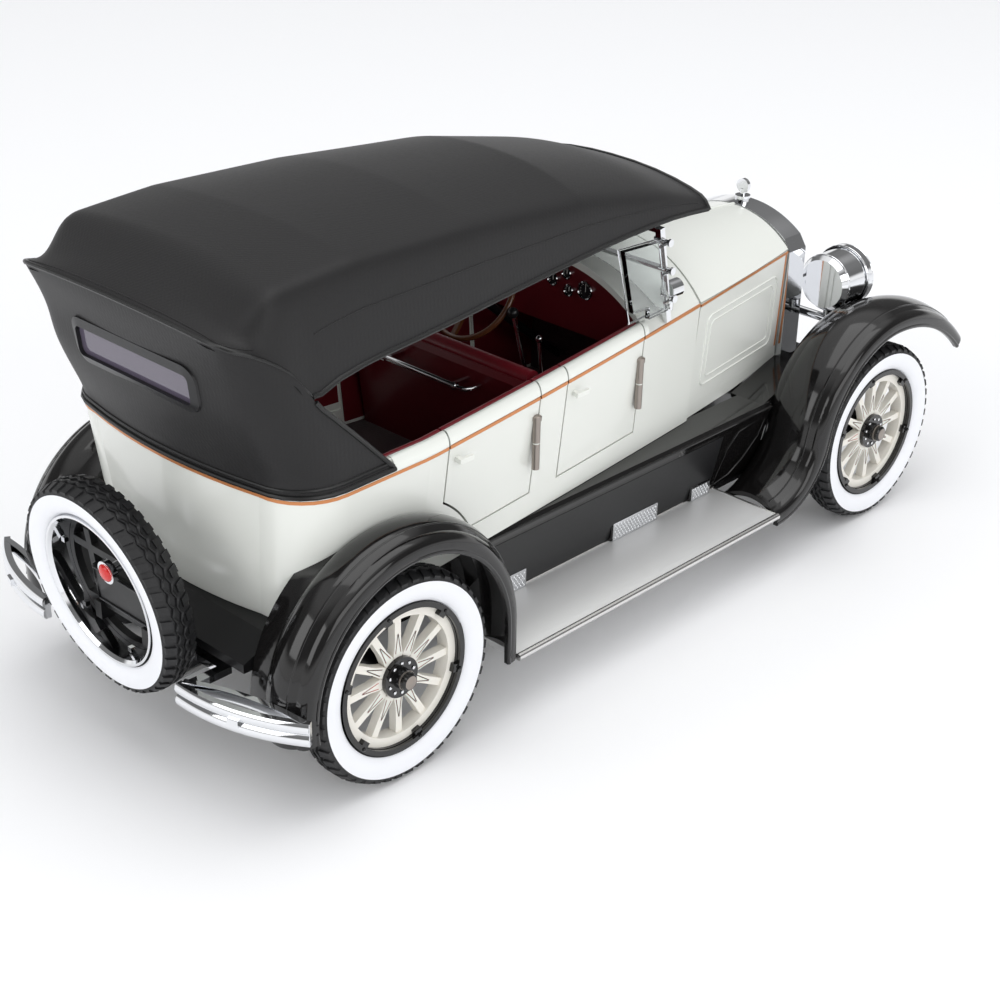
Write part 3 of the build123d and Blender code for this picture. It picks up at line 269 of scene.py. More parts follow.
def node_in(tree, kind, shared=None, **inputs):
    """A new node whose named inputs are set or linked; underscores stand for spaces."""
    node = tree.nodes.new(kind)
    if shared:
        node.node_tree = shared
    for label, value in inputs.items():
        socket = node.inputs[label.replace("_", " ")]
        if isinstance(value, bpy.types.NodeSocket):
            tree.links.new(value, socket)
        else:
            socket.default_value = value
    return node


def math_node(tree, operation, a, b=None, clamp=False):
    """A Math node whose inputs are links or numbers; returns its output."""
    node = tree.nodes.new("ShaderNodeMath")
    node.operation = operation
    node.use_clamp = clamp
    for socket, value in zip(node.inputs, (a, b)):
        if isinstance(value, (int, float)):
            socket.default_value = value
        elif value is not None:
            tree.links.new(value, socket)
    return node.outputs[0]


def group_of(kind, name, inputs, outputs):
    """An empty node group with named sockets, and its input and output nodes."""
    group = bpy.data.node_groups.new(name, kind)
    for way, sockets in (("INPUT", inputs), ("OUTPUT", outputs)):
        for label, socket_kind in sockets:
            group.interface.new_socket(name=label, in_out=way, socket_type="NodeSocket" + socket_kind)
    return group, group.nodes.new("NodeGroupInput").outputs, group.nodes.new("NodeGroupOutput").inputs


def make_patina():
    """Handling marks: slow tone change, fine dust and a soft waviness, from Object coordinates."""
    group, given, out = group_of(
        "ShaderNodeTree", "model_patina",
        [("Colour", "Color"), ("Tone", "Float"), ("Roughness", "Float"), ("Spread", "Float")],
        [("Colour", "Color"), ("Roughness", "Float"), ("Height", "Float")])
    where = group.nodes.new("ShaderNodeTexCoord").outputs["Object"]
    slow = node_in(group, "ShaderNodeTexNoise", Vector=where, Scale=45.0, Detail=4.0).outputs[0]
    fine = node_in(group, "ShaderNodeTexNoise", Vector=where, Scale=1400.0, Detail=3.0).outputs[0]
    change = math_node(group, "MULTIPLY", math_node(group, "SUBTRACT", slow, 0.5), given["Tone"])
    scaled = group.nodes.new("ShaderNodeVectorMath")
    scaled.operation = "SCALE"
    group.links.new(given["Colour"], scaled.inputs[0])
    group.links.new(math_node(group, "ADD", change, 1.0), scaled.inputs["Scale"])
    dust = math_node(group, "MULTIPLY", math_node(group, "SUBTRACT", fine, 0.5), given["Spread"])
    group.links.new(scaled.outputs[0], out["Colour"])
    group.links.new(math_node(group, "ADD", given["Roughness"], dust, clamp=True), out["Roughness"])
    group.links.new(slow, out["Height"])
    return group


def make_grain():
    """A pebbled or woven height from Object coordinates."""
    group, given, out = group_of("ShaderNodeTree", "surface_grain", [("Scale", "Float"), ("Weave", "Float")],
                                 [("Height", "Float")])
    where = group.nodes.new("ShaderNodeTexCoord").outputs["Object"]
    cells = node_in(group, "ShaderNodeTexVoronoi", Vector=where, Scale=given["Scale"]).outputs[0]
    along = node_in(group, "ShaderNodeSeparateXYZ", Vector=where).outputs
    wide = math_node(group, "MULTIPLY", given["Scale"], 3.0)
    warp, weft = (math_node(group, "SINE", math_node(group, "MULTIPLY", along[k], wide)) for k in (0, 1))
    weave = math_node(group, "MULTIPLY", math_node(group, "MULTIPLY", warp, weft), given["Weave"])
    group.links.new(math_node(group, "ADD", cells, weave), out["Height"])
    return group


patina = make_patina()
grain = make_grain()
socket_names = {"metallic": "Metallic", "coat": "Coat Weight", "sheen": "Sheen Weight",
                "specular": "Specular IOR Level", "transmission": "Transmission Weight"}


def material(name, slot, colour, roughness, tone=0.05, spread=0.08, bump=0.0, grain_scale=0.0, weave=0.0,
             grain_depth=0.0, **even):
    """A finish with its own Principled shader, fed by the shared patina and grain groups."""
    made = bpy.data.materials.new(name)
    made.use_nodes = True
    tree = made.node_tree
    shader = tree.nodes["Principled BSDF"]
    marks = node_in(tree, "ShaderNodeGroup", patina, Colour=(*colour, 1.0), Tone=tone, Roughness=roughness,
                    Spread=spread)
    tree.links.new(marks.outputs["Colour"], shader.inputs["Base Color"])
    tree.links.new(marks.outputs["Roughness"], shader.inputs["Roughness"])
    for key, value in even.items():
        shader.inputs[socket_names[key]].default_value = value
    if grain_depth:
        pebbles = node_in(tree, "ShaderNodeGroup", grain, Scale=grain_scale, Weave=weave)
        dent = node_in(tree, "ShaderNodeBump", Strength=grain_depth, Distance=0.0001,
                       Height=pebbles.outputs["Height"])
    elif bump:
        dent = node_in(tree, "ShaderNodeBump", Strength=bump, Distance=0.0002, Height=marks.outputs["Height"])
    if grain_depth or bump:
        tree.links.new(dent.outputs[0], shader.inputs["Normal"])
    return made


ivory_paint = material("ivory_paint", "body_ivory", (0.80, 0.815, 0.765), 0.26, tone=0.006, spread=0.01,
                       bump=0.004, coat=0.4)
ivory_trim = material("ivory_trim", "body_ivory", (0.80, 0.82, 0.77), 0.3, tone=0.03, coat=0.5)
copper_line = material("copper_line", "body_ivory", (0.60, 0.235, 0.085), 0.35, tone=0.2, metallic=0.35)
hinge_metal = material("hinge_metal", "body_ivory", (0.34, 0.30, 0.27), 0.34, metallic=0.85)
black_gloss = material("black_gloss", "fender_black", (0.0065, 0.006, 0.006), 0.12, tone=0.3, bump=0.01,
                       coat=0.35, specular=0.4)
black_satin = material("black_satin", "fender_black", (0.010, 0.010, 0.011), 0.38, tone=0.2)
chassis_paint = material("chassis_paint", "chassis_black", (0.006, 0.006, 0.0065), 0.35, tone=0.2,
                         specular=0.3)
bright_plate = material("bright_plate", "bright_plate", (0.83, 0.84, 0.86), 0.06, tone=0.06, spread=0.05,
                        metallic=1.0)
lamp_red = material("lamp_red", "bright_plate", (0.62, 0.012, 0.010), 0.12, coat=0.5)
lamp_glass = material("lamp_glass", "bright_plate", (0.85, 0.88, 0.90), 0.06, transmission=0.6)
dial_mark = material("dial_mark", "bright_plate", (0.75, 0.74, 0.70), 0.4)
board_metal = material("board_metal", "board_silver", (0.74, 0.74, 0.735), 0.42, tone=0.03, metallic=0.3,
                       grain_scale=4200, grain_depth=0.05)
board_edge_metal = material("board_edge_metal", "board_silver", (0.75, 0.74, 0.73), 0.2, metallic=1.0)
plate_metal = material("quilted_plate", "board_silver", (0.72, 0.73, 0.75), 0.25, metallic=0.9)
top_cloth = material("top_cloth", "top_black", (0.0125, 0.012, 0.0125), 0.5, tone=0.2, sheen=0.05,
                     grain_scale=2600, weave=0.4, grain_depth=0.12, specular=0.3)
top_binding = material("top_binding", "top_black", (0.009, 0.009, 0.009), 0.35, grain_scale=3500,
                       grain_depth=0.2)
rubber = material("tyre_rubber", "tyre_rubber", (0.011, 0.011, 0.012), 0.55, tone=0.3, spread=0.15,
                  grain_scale=3200, grain_depth=0.15)
white_wall = material("white_wall", "tyre_rubber", (0.86, 0.87, 0.90), 0.42, tone=0.03)
wheel_cream = material("wheel_cream", "wheel_cream", (0.84, 0.81, 0.74), 0.35, tone=0.03)
pin_red = material("pin_red", "wheel_cream", (0.52, 0.10, 0.06), 0.4, tone=0.2)
maroon_leather = material("maroon_leather", "trim_maroon", (0.165, 0.009, 0.016), 0.34, tone=0.25, coat=0.15,
                          grain_scale=1900, grain_depth=0.25)
maroon_panel = material("maroon_panel", "trim_maroon", (0.13, 0.008, 0.013), 0.3, tone=0.2, coat=0.2)
maroon_carpet = material("maroon_carpet", "trim_maroon", (0.030, 0.003, 0.005), 0.85, tone=0.3, sheen=0.3,
                         grain_scale=3800, grain_depth=0.6)
dial_black = material("dial_black", "trim_maroon", (0.012, 0.012, 0.013), 0.3)
wheel_brown = material("wheel_brown", "wheel_brown", (0.115, 0.040, 0.016), 0.25, tone=0.2, coat=0.4)
core_dark = material("core_dark", "core_dark", (0.03, 0.03, 0.032), 0.45, metallic=0.4)
engine_grey = material("engine_grey", "engine_grey", (0.2, 0.21, 0.2), 0.45)
exhaust_steel = material("exhaust_steel", "exhaust_steel", (0.4, 0.4, 0.4), 0.4, metallic=0.8)
clear_plate = material("clear_plate", "clear_glass", (0.93, 0.96, 0.96), 0.03, tone=0.0, spread=0.0,
                       transmission=1.0)
window_pane = material("window_pane", "clear_glass", (0.10, 0.085, 0.12), 0.08, tone=0.2, spread=0.02,
                       coat=0.4)

# Every node of the solids gets a finish; pieces further down replace some of them
finish_of = {
    "tyre_rubber": rubber, "wheel_black": black_gloss, "wheel_cream": wheel_cream,
    "chassis_black": chassis_paint, "fender_black": black_gloss, "body_ivory": ivory_paint,
    "board_silver": board_metal, "bright_plate": bright_plate, "core_dark": core_dark,
    "clear_glass": clear_plate, "top_black": top_cloth, "trim_maroon": maroon_leather,
    "wheel_brown": wheel_brown, "engine_grey": engine_grey, "exhaust_steel": exhaust_steel,
}
for part in frame["record"]["subparts"]:
    node = nodes[part["node"]]
    node.data.materials.clear()
    node.data.materials.append(finish_of[part["material_slot"]])


# Repeats: one mesh turned about the Y axis, and one mesh set at given points


def finish_copies(group, given, out, copies):
    """Turn the copies into plain mesh and give them the finish."""
    real = node_in(group, "GeometryNodeRealizeInstances", Geometry=copies.outputs[0])
    paint = node_in(group, "GeometryNodeSetMaterial", Geometry=real.outputs[0], Material=given["Finish"])
    group.links.new(paint.outputs[0], out[0])
    return group


def make_ring_repeat():
    """Copies of the input mesh, evenly turned about the Y axis."""
    group, given, out = group_of("GeometryNodeTree", "ring_repeat",
                                 [("Geometry", "Geometry"), ("Count", "Int"), ("Finish", "Material")],
                                 [("Geometry", "Geometry")])
    line = node_in(group, "GeometryNodeMeshLine", Count=given["Count"], Offset=(0, 0, 0))
    index = group.nodes.new("GeometryNodeInputIndex").outputs[0]
    angle = math_node(group, "MULTIPLY", math_node(group, "DIVIDE", index, given["Count"]), 2 * pi)
    spin = node_in(group, "ShaderNodeCombineXYZ", Y=angle)
    copies = node_in(group, "GeometryNodeInstanceOnPoints", Points=line.outputs[0],
                     Instance=given["Geometry"], Rotation=spin.outputs[0])
    return finish_copies(group, given, out, copies)


def make_point_repeat():
    """A copy of one object at each point of the input mesh."""
    group, given, out = group_of("GeometryNodeTree", "point_repeat",
                                 [("Geometry", "Geometry"), ("Piece", "Object"), ("Finish", "Material")],
                                 [("Geometry", "Geometry")])
    source = node_in(group, "GeometryNodeObjectInfo", Object=given["Piece"])
    copies = node_in(group, "GeometryNodeInstanceOnPoints", Points=given["Geometry"],
                     Instance=source.outputs["Geometry"])
    return finish_copies(group, given, out, copies)


ring_repeat = make_ring_repeat()
point_repeat = make_point_repeat()


def repeat_on(obj, group, values):
    """Run a repeat on an object with its inputs set by name, and keep the plain mesh."""
    modifier = obj.modifiers.new("repeat", "NODES")
    modifier.node_group = group
    for item in group.interface.items_tree:
        if item.in_out == "INPUT" and item.name in values:
            modifier[item.identifier] = values[item.name]
    apply_modifiers(obj)


def take_mesh(obj):
    """The mesh of an object that is only needed as a source."""
    mesh = obj.data
    bpy.data.objects.remove(obj)
    return mesh


def ring_of(name, mesh, count, finish):
    """Mesh of copies turned about the Y axis."""
    obj = new_object(name, mesh.copy())
    repeat_on(obj, ring_repeat, {"Count": count, "Finish": finish})
    return take_mesh(obj)


def at_points(name, points, source_mesh, finish, angle=35.0):
    """A piece of the car made of copies of one mesh at points."""
    source = new_object(name + "_one", source_mesh)
    obj = new_object(name, mesh_from(name, points, []))
    repeat_on(obj, point_repeat, {"Piece": source, "Finish": finish})
    bpy.data.objects.remove(source)
    return finish_piece(obj, finish, "car", angle)


def placed(name, mesh, place, body, angle=35.0):
    """A copy of a mesh at a place, riding on a body; it keeps its own finishes."""
    copy = mesh.copy()
    in_metres = place.copy()
    in_metres.translation = place.translation * MM
    copy.transform(in_metres)
    return finish_piece(new_object(name, copy), None, body, angle)


def box_mesh(name, low, high):
    """A box between two corners."""
    (x0, y0, z0), (x1, y1, z1) = low, high
    verts = [(x, y, z) for z in (z0, z1) for x, y in ((x0, y0), (x1, y0), (x1, y1), (x0, y1))]
    faces = [(0, 3, 2, 1), (4, 5, 6, 7), (0, 1, 5, 4), (1, 2, 6, 5), (2, 3, 7, 6), (3, 0, 4, 7)]
    return mesh_from(name, verts, faces)


def straight(values, x):
    """Value at x on straight runs between rows of (x, value)."""
    rows = sorted(values)
    for (x0, v0), (x1, v1) in zip(rows, rows[1:]):
        if x <= x1:
            return v0 + (v1 - v0) * (max(x, x0) - x0) / (x1 - x0)
    return rows[-1][1]


def ease(values, x):
    """Smooth value at x through rows of (x, value)."""
    rows = sorted(values)
    if x <= rows[0][0]:
        return rows[0][1]
    for k in range(len(rows) - 1):
        (x0, v0), (x1, v1) = rows[k], rows[k + 1]
        if x <= x1:
            before, after = rows[max(k - 1, 0)], rows[min(k + 2, len(rows) - 1)]
            slope0 = (v1 - before[1]) / (x1 - before[0])
            slope1 = (after[1] - v0) / (after[0] - x0)
            run = x1 - x0
            t = (x - x0) / run
            return ((2 * t**3 - 3 * t**2 + 1) * v0 + (t**3 - 2 * t**2 + t) * run * slope0
                    + (3 * t**2 - 2 * t**3) * v1 + (t**3 - t**2) * run * slope1)
    return rows[-1][1]


def rounded(low, high, corner, steps):
    """Points round a rectangle with rounded corners, between two corner points."""
    (a0, b0), (a1, b1) = low, high
    points = []
    for turn, (ca, cb) in enumerate(((a1 - corner, b1 - corner), (a0 + corner, b1 - corner),
                                     (a0 + corner, b0 + corner), (a1 - corner, b0 + corner))):
        for k in range(steps + 1):
            angle = pi / 2 * (turn + k / steps)
            points.append((ca + corner * cos(angle), cb + corner * sin(angle)))
    return points


# Tyres: a round carcass with a white outer wall, and a moulded tread of lugs and two zigzag ribs

flat_axis = axis_place((0, 0, 0), (0, 1, 0))
wheel_places = {}
for end, axle_x in (("f", front_axle_x), ("r", rear_axle_x)):
    for tag, side in both:
        way = Matrix.Rotation(0 if side > 0 else pi, 4, "Z")
        wheel_places[end + tag[0]] = Matrix.Translation((axle_x, side * wheel_y, tyre_radius)) @ way
spare_place = (Matrix.Translation((spare_x, 0, spare_z)) @ Matrix.Rotation(pi / 2, 4, "Z")
               @ Matrix.Rotation(radians(spare_tilt), 4, "X"))

carcass_profile = [
    (-1.7, 12.7), (-2.3, 13.2), (-2.8, 14.1), (-2.98, 15.2), (-2.95, 16.0), (-2.75, 16.6), (-2.5, 16.9),
    (-1.3, 17.25), (0.0, 17.36), (1.3, 17.25), (2.5, 16.9), (2.75, 16.6), (2.84, 16.36), (2.93, 16.26),
    (2.99, 15.5), (2.9, 14.5), (2.6, 13.6), (2.1, 12.95), (1.7, 12.7), (0.0, 12.68), (-1.7, 12.7),
]
wall_outer_radius = 16.3
wall_inner_y = 1.9
carcass = take_mesh(turned("carcass", carcass_profile, flat_axis, rubber, None, steps=96))
carcass.materials.append(white_wall)
for polygon in carcass.polygons:
    spot = polygon.center
    if spot.y > wall_inner_y * MM and hypot(spot.x, spot.z) / MM < wall_outer_radius:
        polygon.material_index = 1


def block_mesh(name, blocks):
    """A mesh of blocks, each given by its four top corners and its depth."""
    verts, faces = [], []
    for corners, depth in blocks:
        start = len(verts)
        verts += corners + [(x, y, z - depth) for x, y, z in corners]
        faces += [tuple(start + k for k in range(4)), tuple(start + 7 - k for k in range(4))]
        for k in range(4):
            n = (k + 1) % 4
            faces.append((start + k, start + 4 + k, start + 4 + n, start + n))
    return mesh_from(name, verts, faces)


tread_pitches = 46
pitch = 2 * pi * (tyre_radius - 0.1) / tread_pitches
lug_half = 0.55 * pitch / 2
blocks = []
for side in (1, -1):
    blocks.append((sided([(-lug_half, 1.25, 17.64), (lug_half, 1.25, 17.64), (lug_half + 0.4, 2.78, 17.02),
                          (-lug_half + 0.4, 2.78, 17.02)], side), 0.5))
    for x0, y0, x1, y1 in ((-pitch / 2, 0.78, 0, 0.32), (0, 0.32, pitch / 2, 0.78)):
        blocks.append((sided([(x0, y0 - 0.22, 17.66), (x1, y1 - 0.22, 17.66), (x1, y1 + 0.26, 17.66),
                              (x0, y0 + 0.26, 17.66)], side), 0.45))
tread_one = block_mesh("tread_one", blocks)
tidy_mesh(tread_one)
tread = ring_of("tread", tread_one, tread_pitches, rubber)
for wheel, place in list(wheel_places.items()) + [("spare", spare_place)]:
    body, node = ("car", "spare_tyre") if wheel == "spare" else (f"wheel_{wheel}", f"tyre_{wheel}")
    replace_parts(placed(f"tyre_shape_{wheel}", carcass, place, body, 60), node)
    placed(f"tread_{wheel}", tread, place, body, 20)

# Wheels: red lines on the spokes, bright bolts round the hub, black nuts on the rim, and a dull cap
line_y = 0.78
pins = []
for lean in (1, -1):
    pins.append(([(lean * 0.60, line_y, 4.1), (lean * 0.46, line_y, 4.1), (0.0, line_y, 7.3),
                  (lean * 0.10, line_y, 7.5)], 0))
pin_lines = ring_of("pin_lines", block_mesh("pin_one", pins), spoke_count, pin_red)
bolt = turned("bolt", [(0.0, 0.0), (0.0, 0.30), (0.22, 0.30), (0.32, 0.16), (0.34, 0.0)],
              axis_place((0, 1.45, 2.55), (0, 1, 0)), bright_plate, None, steps=8)
hub_bolts = ring_of("hub_bolts", take_mesh(bolt), 10, bright_plate)
lug = turned("rim_lug", [(0.0, 0.0), (0.0, 0.34), (0.4, 0.34), (0.55, 0.2), (0.6, 0.0)],
             axis_place((0, 2.05, 12.15), (0, 1, 0)), black_gloss, None, steps=6)
rim_nuts = ring_of("rim_nuts", take_mesh(lug), 6, black_gloss)
cap_profile = [(2.5, 0.0), (2.5, 1.62), (2.75, 1.62), (2.8, 1.35), (3.5, 1.28), (3.68, 1.0), (3.74, 0.0)]
hub_cap = take_mesh(turned("hub_cap", cap_profile, flat_axis, hinge_metal, None, steps=24))
nut_turn = Matrix.Rotation(radians(15), 4, "Y")
for wheel, place in wheel_places.items():
    body = f"wheel_{wheel}"
    placed(f"pin_lines_{wheel}", pin_lines, place, body)
    placed(f"hub_bolts_{wheel}", hub_bolts, place, body)
    placed(f"rim_nuts_{wheel}", rim_nuts, place @ nut_turn, body)
    placed(f"hub_cap_{wheel}", hub_cap, place, body)

# Folding top: one sheet over the bows and down round the tail, with the rear window cut in it

top_rows = {
    # Half width at the hem, and heights of the hem, of the side roll and of the crown, along x
    "half": [(23.5, 22.4), (12.0, 23.4), (-10.0, 24.6), (-36.0, 25.8), (-60.0, 26.4), (-72.9, 26.5),
             (-80.2, 25.6)],
    "hem": [(23.5, 69.4), (12.0, 70.5), (-2.7, 70.4), (-18.0, 69.5), (-32.0, 68.5), (-45.0, 67.4),
            (-59.0, 66.4), (-65.5, 65.4), (-70.8, 64.3), (-74.6, 69.1), (-80.2, 73.2), (-84.2, 75.0)],
    "roll": [(23.5, 71.6), (12.0, 74.7), (-10.0, 78.5), (-36.0, 80.6), (-60.0, 81.3), (-75.0, 80.3),
             (-84.2, 75.4)],
    "crown": [(23.5, 74.2), (12.0, 78.3), (-10.0, 82.8), (-36.0, 83.8), (-60.0, 83.3), (-75.0, 81.9),
              (-84.2, 75.8)],
}
tail_rows = {
    # The curtain's plan by height: half width, rear at the corners, bulge at the middle, corner radius
    "half": [(49.0, 29.5), (51.4, 28.7), (61.7, 28.0), (67.5, 27.2), (75.0, 25.6)],
    "rear": [(49.0, -76.1), (51.4, -76.2), (56.0, -78.2), (61.7, -80.4), (67.5, -81.2), (75.0, -84.2)],
    "bulge": [(49.0, 2.0), (51.4, 1.8), (61.7, 1.0), (67.5, 0.9), (75.0, 0.6)],
    "corner": [(49.0, 9.2), (61.7, 8.2), (67.5, 6.5), (75.0, 4.0)],
}
side_end_x = -70.8
curtain_front = [(48.9, -56.4), (55.5, -62.6), (61.2, -68.2), (64.3, side_end_x), (80.0, side_end_x)]
window_half = 14.0
window_z = (61.7, 67.5)
back_spread = [1.0, 0.93, 0.84, 0.75, None, 0.486, 0.324, 0.162, 0.0]
front_spread = [1.0, 0.985, 0.955, 0.91, 0.80, 0.64, 0.44, 0.22, 0.0]
roll_spread = 0.91
side_steps, corner_steps = 5, 6
corner_x, corner_y, corner_radius = -80.2, 25.6, 4.0


def top_value(key, x):
    """The cloth runs straight from bow to bow along its crown and rolls, and curves along its hem."""
    return (straight if key in ("roll", "crown") else ease)(top_rows[key], x)


def roof_section(x, half, share):
    """Row of roof points at x; share goes from 0, the bowed section, to 1, the rear edge."""
    hem, roll, crown = (top_value(key, x) for key in ("hem", "roll", "crown"))
    row = []
    for back, front in zip(back_spread, front_spread):
        back_y = window_half if back is None else half * back
        y = front * half * (1 - share) + back_y * share
        if front >= roll_spread:
            bowed = hem + (roll - hem) * sin(pi / 2 * (1 - front) / (1 - roll_spread))
        else:
            bowed = roll + (crown - roll) * (1 - (front / roll_spread) ** 2.4)
        flat = hem + (crown - hem) * (1 - (y / half) ** 2)
        bulge = 0.6 * share * (1 - (y / half) ** 2)
        row.append((x - bulge, y, bowed * (1 - share) + flat * share))
    return row + sided(row[-2::-1], -1)


station_x = [23.5, 23.1, 21.0, 17.0, 12.0, 6.0, 0.0, -5.0, -9.0, -10.0, -11.0, -16.0, -22.0, -29.0, -34.8,
             -36.0, -37.2, -43.0, -50.0, -56.0, -59.0, -60.0, -61.0, -65.5, -69.0]
edge_stations = [(x, top_value("half", x)) for x in evenly(side_end_x, corner_x, side_steps)]
for a in evenly(0, pi / 2, corner_steps)[1:]:
    edge_stations.append((corner_x - corner_radius * sin(a),
                          corner_y - corner_radius + corner_radius * cos(a)))
roof = [roof_section(x, top_value("half", x), 0.0) for x in station_x]
left_edge = []
for x, half in edge_stations:
    share = max(0.0, min(1.0, (-76.0 - x) / 8.2))
    roof.append(roof_section(x, half, share * share * (3 - 2 * share)))
    left_edge.append(roof[-1][0])
rear_edge = roof[-1][1:-1]
top_line = left_edge + rear_edge + sided(left_edge[::-1], -1)


def curtain_point(index, z):
    """Point of the curtain at a height, on the line that hangs from the top line's index."""
    last = len(top_line) - 1
    mirror = index > last - index
    step = last - index if mirror else index
    half, rear, bulge, corner = (ease(tail_rows[key], z) for key in ("half", "rear", "bulge", "corner"))
    if step <= side_steps:
        start = ease(curtain_front, z)
        x, y = start + (rear + corner - start) * step / side_steps, half
    elif step <= side_steps + corner_steps:
        a = pi / 2 * (step - side_steps) / corner_steps
        x, y = rear + corner - corner * sin(a), half - corner + corner * cos(a)
    else:
        spread = back_spread[step - side_steps - corner_steps]
        span = half - corner
        y = window_half if spread is None else span * spread
        x = rear - bulge * (1 - (y / span) ** 2)
    return x, (-y if mirror else y), z


hem_z = 49.35
hem_lift = 0.55
head_z = 75.4
window_shares = [(z - hem_z) / (head_z - hem_z) for z in window_z]
curtain = []
for share in [0.0, 0.035, 0.09, 0.18, 0.32, window_shares[0], 0.585, window_shares[1], 0.82, 0.92]:
    row = []
    for index, (_, _, top_z) in enumerate(top_line):
        low_z = belt_at(curtain_point(index, hem_z)[0]) + hem_lift
        high = head_z if top_z > 75.0 else top_z
        row.append(curtain_point(index, low_z + share * (high - low_z)))
    curtain.append(row)
curtain.append(top_line)
top_mesh = bpy.data.meshes.new("folding_top_cloth")
with editing(top_mesh, grid_mesh("roof", roof), grid_mesh("band", curtain)) as edit:
    bmesh.ops.remove_doubles(edit, verts=edit.verts, dist=2e-5)
    middles = [(face, face.calc_center_median() / MM) for face in edit.faces]
    holes = [face for face, spot in middles
             if spot.x < -79 and abs(spot.y) < window_half and window_z[0] < spot.z < window_z[1]]
    bmesh.ops.delete(edit, geom=holes, context="FACES")
    bmesh.ops.recalc_face_normals(edit, faces=edit.faces)
    if sum(face.normal.z for face in edit.faces) < 0:
        bmesh.ops.reverse_faces(edit, faces=edit.faces)
    top_area = sum(face.calc_area() for face in edit.faces)
top = new_object("folding_top_cloth", top_mesh)
smooth = top.modifiers.new("smooth", "SUBSURF")
smooth.levels = smooth.render_levels = 2
apply_modifiers(top)
skin = BVHTree.FromPolygons([v.co.copy() for v in top.data.vertices],
                            [tuple(p.vertices) for p in top.data.polygons])
thick = top.modifiers.new("thickness", "SOLIDIFY")
thick.thickness = 1.0 * MM
thick.offset = -1.0
apply_modifiers(top)
tidy_mesh(top.data)
finish_piece(top, top_cloth, angle=50)
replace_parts(top, "folding_top")


def on_top(points):
    """Points moved onto the top's outer face."""
    return [tuple(skin.find_nearest(Vector(p) * MM)[0] / MM) for p in points]


def top_cord(name, points, radius, finish=top_binding):
    """A cord or seam sewn along the top."""
    return tube(name, on_top(points), radius, finish, sides=8)


hem_side = [(x, top_value("half", x), top_value("hem", x) + 0.3) for x in station_x[1:]]
hem_side.append((left_edge[0][0], left_edge[0][1], left_edge[0][2] + 0.3))
seam = [(x, top_value("half", x) - 1.0, top_value("hem", x) * 0.45 + top_value("roll", x) * 0.55)
        for x in station_x[2:]]
head = [curtain_point(0, z) for z in (64.2, 63.0, 61.0, 58.0, 55.0, 52.0, 50.2)]
for tag, side in both:
    top_cord(f"hem_binding_{tag}", sided(hem_side, side), 0.42)
    top_cord(f"side_seam_{tag}", sided(seam, side), 0.11, top_cloth)
    top_cord(f"curtain_binding_{tag}", sided(head, side), 0.4)
    top_cord(f"corner_seam_{tag}", sided(left_edge[:side_steps + 1], side), 0.3)
rear_cord = left_edge[side_steps:] + rear_edge + sided(left_edge[:side_steps - 1:-1], -1)
top_cord("rear_edge_cord", rear_cord, 0.36)
top_cord("rear_edge_seam", [(x + 0.9, y * 0.985, z + 0.7) for x, y, z in rear_cord], 0.12, top_cloth)
for lift_z, radius, tag in ((0.25, 0.42, "lower"), (1.25, 0.3, "upper")):
    low_line = [curtain_point(index, belt_at(curtain_point(index, hem_z)[0]) + hem_lift + lift_z)
                for index in range(len(top_line))]
    top_cord(f"curtain_hem_{tag}", low_line, radius)
top_cord("front_binding", [(23.3, y, z) for _, y, z in roof[0]], 0.42)


def window_path(grow):
    """Rounded outline of the rear window, on the curtain's outer face."""
    half, low, high = window_half + grow, window_z[0] - grow, window_z[1] + grow
    return [(-80.9 - 0.11 * (z - window_z[0]) - (1 - (y / 20) ** 2), y, z)
            for y, z in rounded((-half, low), (half, high), 1.5 + grow, 6)]


frame_rings = []
for (ox, oy, oz), (ix, iy, iz) in zip(on_top(window_path(1.0)), window_path(-0.5)):
    frame_rings.append([(ox + 0.3, oy, oz), (ox - 0.35, oy * 0.985, oz), (ix - 0.25, iy, iz),
                        (ix + 0.7, iy, iz)])
lofted("rear_window_frame", frame_rings, black_satin, closed=True, angle=30)

# Belt line: a copper stripe, a rounded rail and a maroon roll on each panel of the body


def belt_bar(name, ring, x0, x1, side, finish, body="car"):
    """A bar along one side of the body; ring holds (inset, height over the belt)."""
    swept(name, evenly(x0, x1, 10), lambda x: [(half_at(x, 1) - inset, belt_at(x) + up)
                                               for inset, up in ring], side, finish, body)


def tail_bar(name, ring, x_front, finish):
    """The same bar carried round the tail, between the two door gaps."""
    paths = []
    for inset, up in ring:
        left = [(x, min(quarter_half[1], half_at(x, 1)) - inset)
                for x in evenly(x_front, tail_x + tail_corner, 8)[:-1]]
        plan = left + tail_plan(inset) + [(x, -y) for x, y in reversed(left)]
        paths.append([(x, y, belt_at(x) + up) for x, y in plan])
    lofted(name, [list(ring_points) for ring_points in zip(*paths)], finish)


def lining(name, stations, foot, head, thick, side, body="car"):
    """A maroon panel inside the shell; foot and head give its (outer y, z) at x."""
    swept(name, stations, lambda x: [foot(x), head(x), (head(x)[0] - thick, head(x)[1]),
                                     (foot(x)[0] - thick, foot(x)[1])], side, maroon_panel, body)


